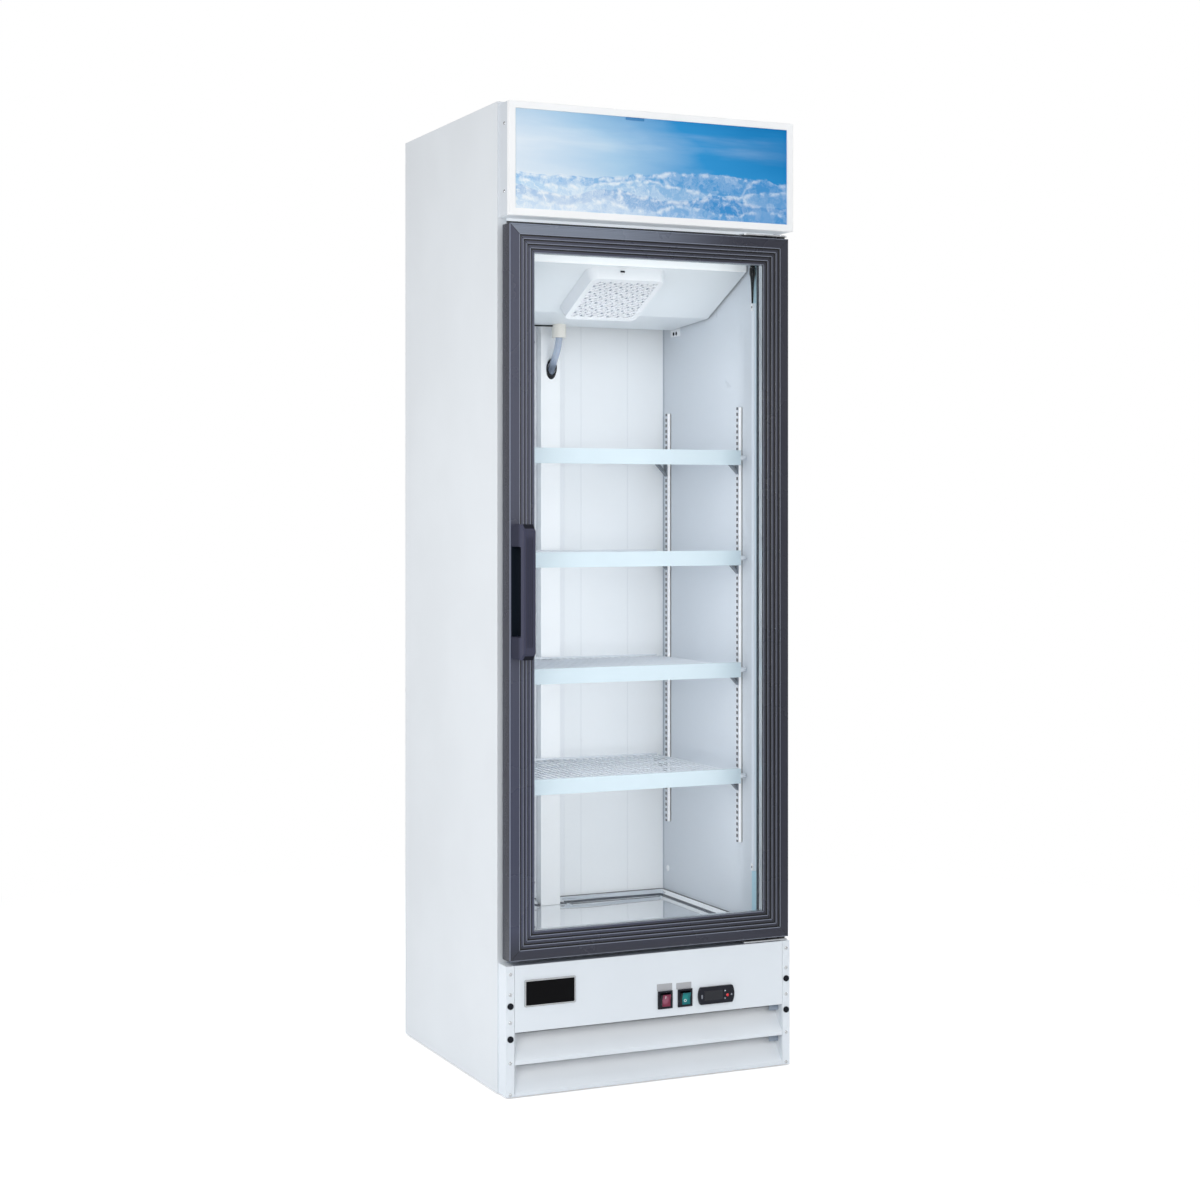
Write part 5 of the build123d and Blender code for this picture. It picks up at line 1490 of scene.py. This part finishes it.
@dataclass
class Controls(Assembly):
    """Rockers, thermostat, keys and the bare plates over the rockers."""

    label_boxes: tuple[tuple[float, float, float, float], ...] = (
        (0.0107, 0.0457, 0.1853, 0.1996), (0.0552, 0.0902, 0.1853, 0.1982),
    )
    label_thickness: float = 0.0006
    label_corner: float = 0.0008
    sunk: float = 0.0004
    lamp_place: tuple[float, float] = (0.1721, 0.1645)
    lamp_radius: float = 0.0031
    lamp_dome: Pairs = (
        (1.0, 0.0), (1.0, 0.0006), (0.85, 0.0011), (0.5, 0.0015), (0.1, 0.0016),
    )
    port_place: tuple[float, float] = (0.1125, 0.1655)
    port: Slab = Slab(0.0036, 0.0085, 0.0007, 0.0017)
    # The marks' corners, in millimetres from the middle of their keys.
    marks: tuple[tuple[str, str, Pairs], ...] = (
        ("set_button", "set_key", ((-1.3, -0.9), (1.3, -0.9), (1.3, 0.9), (-1.3, 0.9))),
        ("down_button", "down_key", ((-1.4, 0.8), (0.0, -1.2), (1.4, 0.8))),
        ("up_button", "up_key", ((-1.4, -0.8), (1.4, -0.8), (0.0, 1.2))),
    )
    mark_layers: Pairs = ((0.0, 1.0), (0.0001, 1.0), (0.00016, 0.85))

    def finishes(self) -> Mapping[str, Finish]:
        """Gives the finish of each CAD node of the controls."""
        return {
            "switch_bezels": BLACK, "power_rocker": RED_CAP, "light_rocker": GREEN_CAP,
            "controller_case": BLACK, "controller_display": WINDOW, "set_button": KEY,
            "down_button": KEY, "up_button": KEY,
        }

    def build(self) -> None:
        """Adds the label plates, the red lamp and the marks on the keys."""
        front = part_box("base_front_cover")[0].y
        for name, (x0, x1, z0, z1) in zip(("red_label", "green_label"), self.label_boxes):
            plate = Workpiece(name + "_plate")
            centre = Vector(((x0 + x1) / 2, front, (z0 + z1) / 2))
            size = Slab(x1 - x0, z1 - z0, self.label_thickness, self.label_corner)
            plate.plate(Facing.FRONT, centre, size).done(LABEL, "cabinet")
        seat_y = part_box("controller_case")[0].y + self.sunk
        dome = [(self.lamp_radius * share, rise) for share, rise in self.lamp_dome]
        seat = Vector((self.lamp_place[0], seat_y, self.lamp_place[1]))
        lamp = Workpiece("red_lamp").turned(dome, seat, Vector((0, -1, 0)))
        lamp.done(RED_LENS, "cabinet")
        seat = Vector((self.port_place[0], seat_y, self.port_place[1]))
        port = Workpiece("controller_port").plate(Facing.FRONT, seat, self.port)
        port.done(PORT, "cabinet")
        for node, body, outline in self.marks:
            self.key_mark(node, body, outline)

    def key_mark(self, node: str, body: str, outline: Sequence[tuple[float, float]]) -> None:
        """Adds a small raised mark on a key.

        Args:
            node: the key's CAD node.
            body: the key's body.
            outline: the mark's corners, in millimetres from the key's middle.
        """
        low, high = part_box(node)
        centre = (low + high) / 2
        centre.y = low.y
        loops = [
            [
                Facing.FRONT.at(centre, u * MILLIMETRE * scale, v * MILLIMETRE * scale, out)
                for u, v in outline
            ]
            for out, scale in self.mark_layers
        ]
        Workpiece(body + "_mark").loft(loops).done(WIRE_COAT, body)


@dataclass
class Door(Assembly):
    """Framed sealed glass with its handle, hinges and soft seal."""

    seal_width: float = 0.020
    lip_level: float = 1.75
    seal_section: Pairs = (
        (0.0, 0.02), (0.30, 0.02), (0.34, 0.16), (0.22, 0.30), (0.34, 0.44), (0.10, 0.56),
        (0.02, 0.70), (0.03, 0.93), (0.10, 1.0), (0.90, 1.0), (0.97, 0.93), (0.98, 0.70),
        (0.90, 0.56), (0.70, 0.44), (0.80, 0.30), (0.76, 0.20), (1.20, 0.19), (2.12, 0.16),
        (2.15, 0.10), (2.12, 0.04), (1.20, 0.02),
    )
    plate_margin: tuple[float, float] = (0.001, 0.004)
    plate_thickness: float = 0.0009
    plate_corner: float = 0.009
    rib_places: tuple[float, ...] = (-0.3085, -0.3045, -0.3005, -0.2965)
    rib_width: float = 0.0016
    rib_ends: float = 0.05
    rib_thickness: float = 0.0006
    rib_corner: float = 0.0007

    def finishes(self) -> Mapping[str, Finish]:
        """Gives the finish of each CAD node of the door and its hinges."""
        return {
            "door_stiles": FRAME, "door_rails": FRAME, "hinge_bushes": NYLON,
            "glass_panes": PANE, "glass_spacer": SPACER, "door_gasket": SEAL,
            "door_handle": HANDLE, "hinge_brackets": HINGE_PLATE, "hinge_pins": PLATED,
        }

    def build(self) -> None:
        """Adds the soft bellows seal in place of its plain ring, and the handle's parts."""
        low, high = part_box("door_gasket")
        depth, width = high.y - low.y, self.seal_width
        loops = []
        for x, z in ((low.x, low.z), (high.x, low.z), (high.x, high.z), (low.x, high.z)):
            sx = 1 if x < 0 else -1
            sz = 1 if z == low.z else -1
            loops.append([
                Vector((
                    x + sx * width * inset, low.y + depth * out,
                    z + sz * width * min(inset, self.lip_level),
                ))
                for inset, out in self.seal_section
            ])
        seal = Workpiece("bellows_seal").loft(loops, ring=True)
        seal.done(SEAL, "door", "gasket_rubber", ["door_gasket"], crease=COVED_CREASE)
        self.build_handle_parts()

    def build_handle_parts(self) -> None:
        """Adds a dark plate under the handle as painted shade, and the ribs on its grip."""
        low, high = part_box("door_handle")
        centre, (side, ends) = (low + high) / 2, self.plate_margin
        centre.y = high.y - 0.0001
        height = high.z - low.z
        size = Slab(
            high.x - low.x - side, height - ends, self.plate_thickness, self.plate_corner,
        )
        plate = Workpiece("handle_shade_plate").plate(Facing.FRONT, centre, size)
        plate.done(HANDLE_SHADE_PLATE, "door")
        ribs = Workpiece("handle_grip_ribs")
        size = Slab(self.rib_width, height - self.rib_ends, self.rib_thickness, self.rib_corner)
        for x in self.rib_places:
            place = Vector((x, low.y + self.rib_thickness, centre.z))
            ribs.plate(Facing.FRONT, place, size)
        ribs.done(HANDLE, "door", "handle_plastic")


@dataclass
class ColdRoom(Assembly):
    """Shelves, standards, floor tray, duct, ceiling cover, drain and lamp."""

    screw_levels: tuple[float, ...] = (0.3325, 1.558)
    screw_places: tuple[float, ...] = (-0.0457, 0.0165)
    screw_profile: Pairs = (
        (0.0030, 0.0), (0.0030, 0.0006), (0.0022, 0.0016), (0.0004, 0.0019),
    )
    hole_profile: Pairs = ((0.0045, 0.0), (0.0045, 0.0022), (0.0038, 0.0024))
    hole_shares: Pairs = ((0.35, 0.2), (0.35, 0.8), (0.65, 0.2), (0.65, 0.8))
    cap_place: tuple[float, float] = (0.2353, 0.3461)
    cap_profile: Pairs = (
        (0.0070, 0.0), (0.0070, 0.0008), (0.0062, 0.0012), (0.0020, 0.0014),
    )
    lead_radius: float = 0.0018
    lead_steps: tuple[Point, ...] = (
        (0.0, 0.0, 0.0), (-0.03, 0.001, -0.0008), (-0.07, 0.0, 0.0), (-0.11, 0.004, 0.004),
    )
    latch_x: float = -0.015
    latch: Slab = Slab(0.010, 0.004, 0.0012, 0.001)
    shelf_tops: tuple[float, ...] = (1.306, 1.0901, 0.8488, 0.6202)
    nub_drop: float = 0.0165
    nub_profile: Pairs = (
        (0.0048, 0.0), (0.0052, 0.002), (0.0050, 0.006), (0.0036, 0.0115), (0.0018, 0.0148),
        (0.0005, 0.0160),
    )
    hose_radius: float = 0.008
    grommet_z: float = 1.4965
    grommet_steps: int = 40
    # Half widths, half heights and how far each loop stands out.
    grommet_section: tuple[Point, ...] = (
        (0.0130, 0.0215, 0.0), (0.0130, 0.0215, 0.0010), (0.0122, 0.0207, 0.0016),
        (0.0100, 0.0180, 0.0017), (0.0084, 0.0125, 0.0012), (0.0080, 0.0118, 0.0),
    )
    screen_size: float = 0.158
    screen_corner: float = 0.012
    screen_thickness: float = 0.0004
    guard_face: float = 0.0034
    tray_gap: float = 0.0015
    tray_corner: float = 0.012
    low_rim: float = 0.06
    low_margin: float = 0.03
    flange: float = 0.022
    tray_section: Pairs = (
        (0.016, 0.0002), (0.010, 0.0010), (0.006, 0.0040), (0.003, 0.0092), (0.0008, 0.0100),
        (0.0002, 0.0120), (0.0008, 0.0146), (0.003, 0.0158), (0.0055, 0.0152),
        (0.0078, 0.0128), (0.0090, 0.0092), (0.0105, 0.0056), (0.0135, 0.0028),
        (0.0180, 0.0014), (0.0240, 0.0011),
    )
    slope: tuple[float, float] = (180.0, 86.0)
    standard_half: float = 0.0065
    strip_x: float = 0.2766
    strip_width: float = 0.0052
    cap_drop: float = 0.008
    end_cap_height: float = 0.0156
    end_cap_thickness: float = 0.0012
    end_cap_corner: float = 0.002
    pin: Slab = Slab(0.004, 0.004, 0.0004, 0.0019, 0.0001)
    plug_profile: Pairs = (
        (0.0030, 0.0), (0.0030, 0.006), (0.0046, 0.008), (0.0062, 0.0105), (0.0062, 0.014),
        (0.0050, 0.0155), (0.0050, 0.0185), (0.0063, 0.020), (0.0063, 0.033), (0.0050, 0.039),
        (0.0036, 0.050), (0.0028, 0.068), (0.0022, 0.085), (0.0020, 0.0957),
    )

    def finishes(self) -> Mapping[str, Finish]:
        """Gives the finish of each CAD node of the cold room."""
        return {
            "shelf_standards": STANDARD, "shelf_clips": CLIP, "wire_shelves": WIRE_COAT,
            "price_strips": PRICE_STRIP, "floor_tray": TRAY, "duct_column": COLUMN_SHEET,
            "drain_fitting": IVORY, "drain_hose": HOSE, "evaporator_cover": COVER_SHEET,
            "fan_guard": GUARD, "cover_brackets": BRACKET_SHEET, "evaporator_coil": FINS,
            "led_strip": STRIP_LAMP, "led_connector": LEAD, "evaporator_fan": GUARD,
        }

    def build(self) -> None:
        """Adds the strips' end nubs, the hose, the tray and the small fasteners."""
        self.build_nubs()
        self.build_hose()
        self.build_tray()
        self.build_slot_shadows()
        self.build_lamp_ends()
        self.build_fasteners()
        self.build_screen()

    def build_screen(self) -> None:
        """Adds the moulded net that lies inside the fan guard's face."""
        places = [vertex.co for vertex in self.frame["nodes"]["fan_guard"].data.vertices]
        out = Vector((0.0, -self.slope[1], -self.slope[0])).normalized()
        reach = max(place.dot(out) for place in places)
        face = [place for place in places if place.dot(out) > reach - 0.0002]
        middle = sum(face, Vector()) / len(face) - out * self.guard_face
        across = Vector((1, 0, 0))
        along = across.cross(out)
        outline = rounded_outline(self.screen_size, self.screen_size, self.screen_corner)
        loops = [
            [middle - out * depth + across * u + along * v for u, v in outline]
            for depth in (0.0, self.screen_thickness)
        ]
        Workpiece("fan_guard_screen").loft(loops).done(SCREEN, "cabinet")

    def tray_outline(self, inset: float) -> list[tuple[float, float]]:
        """Gives the tray's outline, notched round the duct.

        Args:
            inset: how far inside the tray's outer edge it lies.

        Returns:
            Its points, seen from above.
        """
        low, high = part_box("floor_tray")
        duct_low, duct_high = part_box("duct_column")
        gap = self.tray_gap + inset
        x0, x1 = low.x + inset, high.x - inset
        y0, y1 = low.y + inset, high.y - inset
        radius = max(self.tray_corner - inset, 0.002)
        points = []
        corners = ((x1, y1, -1, -1, 0), (x0, y1, 1, -1, 1), (x0, y0, 1, 1, 2), (x1, y0, -1, 1, 3))
        for i, (x, y, sx, sy, quarter) in enumerate(corners):
            if i == 1:
                left, right = duct_low.x + self.flange - gap, duct_high.x - self.flange + gap
                points += [
                    (right, y1), (right, duct_low.y - gap), (left, duct_low.y - gap), (left, y1),
                ]
            for k in range(7):
                angle = math.pi / 2 * (quarter + k / 6)
                points.append((
                    x + sx * radius + radius * math.cos(angle),
                    y + sy * radius + radius * math.sin(angle),
                ))
        return points

    def build_tray(self) -> None:
        """Adds the pressed steel tray, with a coved and rolled rim, over the plain one."""
        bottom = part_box("floor_tray")[0].z
        duct_low, duct_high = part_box("duct_column")
        left, right = duct_low.x - self.low_margin, duct_high.x + self.low_margin
        loops = []
        for inset, rise in self.tray_section:
            loop = []
            for x, y in self.tray_outline(inset):
                low = self.low_rim if left < x < right and y < duct_low.y else 1.0
                loop.append(Vector((x, y, bottom + rise * low)))
            loops.append(loop)
        tray = Workpiece("pressed_floor_tray").loft(loops)
        tray.done(TRAY, "cabinet", "tray_steel", ["floor_tray"], crease=COVED_CREASE)

    def build_slot_shadows(self) -> None:
        """Adds dark strips inside the standards, behind their slots, as painted shade."""
        low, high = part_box("shelf_standards")
        size = Slab(self.strip_width, high.z - low.z - 0.001, 0.0004, 0.0002, 0.0001)
        strips = Workpiece("standard_slot_shade_strips")
        for y in (low.y + self.standard_half, high.y - self.standard_half):
            for side, facing in ((-1, Facing.RIGHT), (1, Facing.LEFT)):
                place = Vector((side * self.strip_x, y, (low.z + high.z) / 2))
                strips.plate(facing, place, size)
        strips.done(DARK_COAT_AND_SHADE, "cabinet")

    def build_lamp_ends(self) -> None:
        """Adds the lamp's plug in place of its plain one, and its end caps with pins."""
        low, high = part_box("led_connector")
        top = Vector(((low.x + high.x) / 2, (low.y + high.y) / 2, high.z))
        plug = Workpiece("lamp_plug").turned(self.plug_profile, top, Vector((0, 0, -1)))
        plug.done(LEAD, "cabinet", replaces=["led_connector"])
        low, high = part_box("led_strip")
        caps, pins = Workpiece("lamp_end_caps"), Workpiece("lamp_cap_pins")
        size = Slab(
            high.y - low.y - 0.0004, self.end_cap_height, self.end_cap_thickness,
            self.end_cap_corner,
        )
        for z in (low.z + self.cap_drop, high.z - self.cap_drop):
            centre = Vector((low.x, (low.y + high.y) / 2, z))
            caps.plate(Facing.LEFT, centre, size)
            centre.x -= self.end_cap_thickness - 0.0001
            pins.plate(Facing.LEFT, centre, self.pin)
        caps.done(GUARD, "cabinet")
        pins.done(DARK_COAT_AND_SHADE, "cabinet")

    def build_fasteners(self) -> None:
        """Adds the duct's screws, dark discs of painted shade in the brackets' holes, the caps, a
        lead and a latch.
        """
        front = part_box("duct_column")[1].y - 0.0012
        screws = Workpiece("duct_screws")
        for z in self.screw_levels:
            for x in self.screw_places:
                screws.turned(self.screw_profile, Vector((x, front, z)), Vector((0, -1, 0)), 16)
        screws.done(LEAD, "cabinet")
        low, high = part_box("cover_brackets")
        holes, caps = Workpiece("bracket_hole_shade_discs"), Workpiece("lining_caps")
        for side in (-1, 1):
            inward = Vector((-side, 0, 0))
            for dy, dz in self.hole_shares:
                place = Vector((
                    side * (high.x - 0.0001), low.y + dy * (high.y - low.y),
                    low.z + dz * (high.z - low.z),
                ))
                holes.turned(self.hole_profile, place, inward, 16)
            place = Vector((side * high.x, *self.cap_place))
            caps.turned(self.cap_profile, place, inward, 24)
        # The holes' dark discs are painted shade.
        holes.done(DARK_COAT_AND_SHADE, "cabinet")
        caps.done(BRACKET_SHEET, "cabinet")
        low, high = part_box("drain_fitting")
        x, y, z = low.x + 0.001, (low.y + high.y) / 2, high.z - 0.004
        path = [(x + dx, y + dy, z + dz) for dx, dy, dz in self.lead_steps]
        soft_line("sensor_lead", path, self.lead_radius, LEAD)
        low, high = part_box("fan_guard")
        place = Vector((self.latch_x, low.y + 0.0004, high.z - 0.009))
        latch = Workpiece("guard_latch").plate(Facing.FRONT, place, self.latch)
        latch.done(DARK_COAT_AND_SHADE, "cabinet")

    def build_nubs(self) -> None:
        """Adds the white rounded nubs at both ends of the price strips."""
        low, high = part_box("price_strips")
        middle = (low.y + high.y) / 2
        for i, top in enumerate(self.shelf_tops):
            for side, label in ((-1, "left"), (1, "right")):
                nub = Workpiece(f"strip_nub_{label}_{i + 1}")
                start = Vector((side * (high.x - 0.001), middle, top - self.nub_drop))
                nub.turned(self.nub_profile, start, Vector((side, 0, 0)))
                nub.done(WIRE_COAT, "cabinet")

    def build_hose(self) -> None:
        """Adds the soft hose in place of its plain tube, and the grommet round it."""
        low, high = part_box("drain_hose")
        x, rear = (low.x + high.x) / 2, high.y - self.hose_radius
        front = low.y + self.hose_radius
        soft_line("drain_hose_tube", [
            (x, front, high.z - 0.001), (x, front, 1.547), (x, 0.2325, self.grommet_z),
            (x, rear, 1.470), (x, rear, 1.40), (x, rear, 0.80), (x, rear, low.z),
        ], self.hose_radius, HOSE, ["drain_hose"])
        duct_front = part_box("duct_column")[0].y
        loops = [
            [
                Vector((x + half_x * c, duct_front - out, self.grommet_z + half_z * s))
                for c, s in circle(self.grommet_steps)
            ]
            for half_x, half_z, out in self.grommet_section
        ]
        Workpiece("hose_grommet").loft(loops, ring=True).done(GROMMET, "cabinet")


@dataclass
class Machinery(Assembly):
    """Compressor, coils, fans and pipes behind the base front, and the rear cover."""

    def finishes(self) -> Mapping[str, Finish]:
        """Gives the finish of each CAD node of the machinery."""
        return {
            "fan_motors": MOTOR, "condenser_fan": BLADE, "base_chassis": ZINC,
            "levelling_feet": FOOT, "compressor": SHELL, "condenser_coil": FINS,
            "condenser_shroud": ZINC, "condensate_pan": PAN, "refrigerant_pipes": COPPER,
            "rear_grille": WHITE_SHEET,
        }


# Studio


@dataclass
class Studio:
    """Pale floor, white surroundings and soft lamps."""

    reach: float = 14.0
    floor_colour: str = "f2f4f6"
    floor_lift: float = 0.45
    fade: tuple[float, float] = (1.2, 2.6)
    sky_level: float = 0.42
    aim: Point = (0.0, 0.0, 1.0)
    lamps: tuple[tuple[str, Point, float, float], ...] = (
        ("front_left_softbox", (-3.6, -4.0, 2.4), 2.6, 82.0),
        ("front_softbox", (0.2, -4.8, 1.8), 2.8, 38.0),
        ("right_softbox", (4.2, -2.2, 2.0), 2.4, 36.0),
        ("left_softbox", (-2.23, -0.2, 1.2), 0.8, 17.0),
        ("top_softbox", (0.0, -0.4, 4.6), 2.6, 40.0),
        ("rear_softbox", (1.5, 4.4, 2.2), 2.6, 40.0),
    )
    hidden_lamps: tuple[tuple[str, Point, float, float, float], ...] = (
        ("room_lamp", (0.0, -0.141, 0.94), 0.5, 1.2, 1.15),
        ("mouth_lamp", (0.0, -0.205, 1.01), 0.5, 1.42, 1.2),
    )

    def seen(self, graph: Graph) -> Signal:
        """Gives 1 for what the camera sees, directly or through glass, else 0."""
        rays = graph.add("LightPath").outputs
        camera = Signal(graph, rays["Is Camera Ray"])
        return camera.most(Signal(graph, rays["Is Transmission Ray"]))

    def level(self, graph: Graph) -> Signal:
        """Gives full white where it is seen, and the sky's level elsewhere."""
        return self.seen(graph) * (1.0 - self.sky_level) + self.sky_level

    @staticmethod
    def lamp(name: str, place: Point, size: tuple[float, float], watts: float) -> bpy.types.Object:
        """Adds a rectangular lamp that the camera doesn't see.

        Args:
            name: the lamp's name.
            place: its middle.
            size: its width and height.
            watts: its power.

        Returns:
            The lamp.
        """
        light = bpy.data.lights.new(name, "AREA")
        light.shape, light.energy = "RECTANGLE", watts
        light.size, light.size_y = size
        lamp = bpy.data.objects.new(name, light)
        lamp.location, lamp.visible_camera = place, False
        bpy.context.scene.collection.objects.link(lamp)
        return lamp

    def build(self) -> None:
        """Makes the floor, the surroundings and the lamps."""
        floor = bpy.data.meshes.new("studio_floor")
        r = self.reach
        floor.from_pydata([(-r, -r, 0), (r, -r, 0), (r, r, 0), (-r, r, 0)], [], [(0, 1, 2, 3)])
        piece = bpy.data.objects.new("studio_floor", floor)
        bpy.context.scene.collection.objects.link(piece)
        floor.materials.append(self.floor_material())
        world = bpy.data.worlds.new("white_surroundings")
        world.use_nodes = True
        graph = Graph(world.node_tree)
        sky = graph.add("Background", inputs={
            "Color": tone("ffffff"), "Strength": self.level(graph),
        })
        graph.add("OutputWorld", inputs={"Surface": sky.outputs[0]})
        bpy.context.scene.world = world
        for name, place, side, watts in self.lamps:
            lamp = self.lamp(name, place, (side, side), watts)
            aim = Vector(self.aim) - Vector(place)
            lamp.rotation_euler = aim.to_track_quat("-Z", "Y").to_euler()
        for name, place, width, height, watts in self.hidden_lamps:
            lamp = self.lamp(name, place, (width, height), watts)
            lamp.rotation_euler = (math.radians(90), 0.0, 0.0)
            lamp.visible_glossy = lamp.visible_transmission = False
        log.info("studio with %d lamps", len(self.lamps) + len(self.hidden_lamps))

    def floor_material(self) -> bpy.types.Material:
        """Makes a pale floor that shows white, and keeps the object's shadow.

        Returns:
            The floor's material.
        """
        made = bpy.data.materials.new("studio_floor")
        made.use_nodes = True
        graph = Graph(made.node_tree)
        matt = graph.add("BsdfDiffuse", inputs={"Color": tone(self.floor_colour)})
        lift = graph.add("Emission", inputs={
            "Color": tone("ffffff"), "Strength": self.seen(graph) * self.floor_lift,
        })
        near = graph.add("AddShader", inputs={0: matt.outputs[0], 1: lift.outputs[0]})
        far = graph.add("Emission", inputs={
            "Color": tone("ffffff"), "Strength": self.level(graph),
        })
        x, y, _ = graph.axes()
        away = ((x * x + y * y) ** 0.5).ramp(*self.fade)
        both = graph.add("MixShader", inputs={
            0: away, 1: near.outputs[0], 2: far.outputs[0],
        })
        graph.add("OutputMaterial", inputs={"Surface": both.outputs[0]})
        return made


@dataclass
class PhotoCamera:
    """The camera at the photograph's place."""

    place: Point = (-1.9564, -4.2738, 1.1773)
    turn: float = -24.614
    lens: float = 65.03
    sensor: float = 36.0
    shift: float = -0.075

    def build(self) -> None:
        """Makes the camera and gives it to the scene."""
        data = bpy.data.cameras.new("photo_camera")
        data.lens, data.sensor_width, data.shift_y = self.lens, self.sensor, self.shift
        camera = bpy.data.objects.new("photo_camera", data)
        camera.location = self.place
        camera.rotation_euler = (math.radians(90), 0.0, math.radians(self.turn))
        bpy.context.scene.collection.objects.link(camera)
        bpy.context.scene.camera = camera


def main() -> None:
    """Dresses the frame, adds every sub-assembly's pieces, and sets the studio."""
    logging.basicConfig(level=logging.INFO, format="%(message)s")
    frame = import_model()
    bpy.context.scene.cycles.transparent_max_bounces = CLEAR_CROSSINGS
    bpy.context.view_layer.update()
    for kind in (Cabinet, Canopy, BaseFront, Controls, Door, ColdRoom, Machinery):
        group = kind(frame)
        group.dress()
        group.build()
        log.info("built %s", kind.__name__)
    Studio().build()
    PhotoCamera().build()
    scene = bpy.context.scene
    scene.view_settings.view_transform = "Standard"


if __name__ == "__main__":
    main()
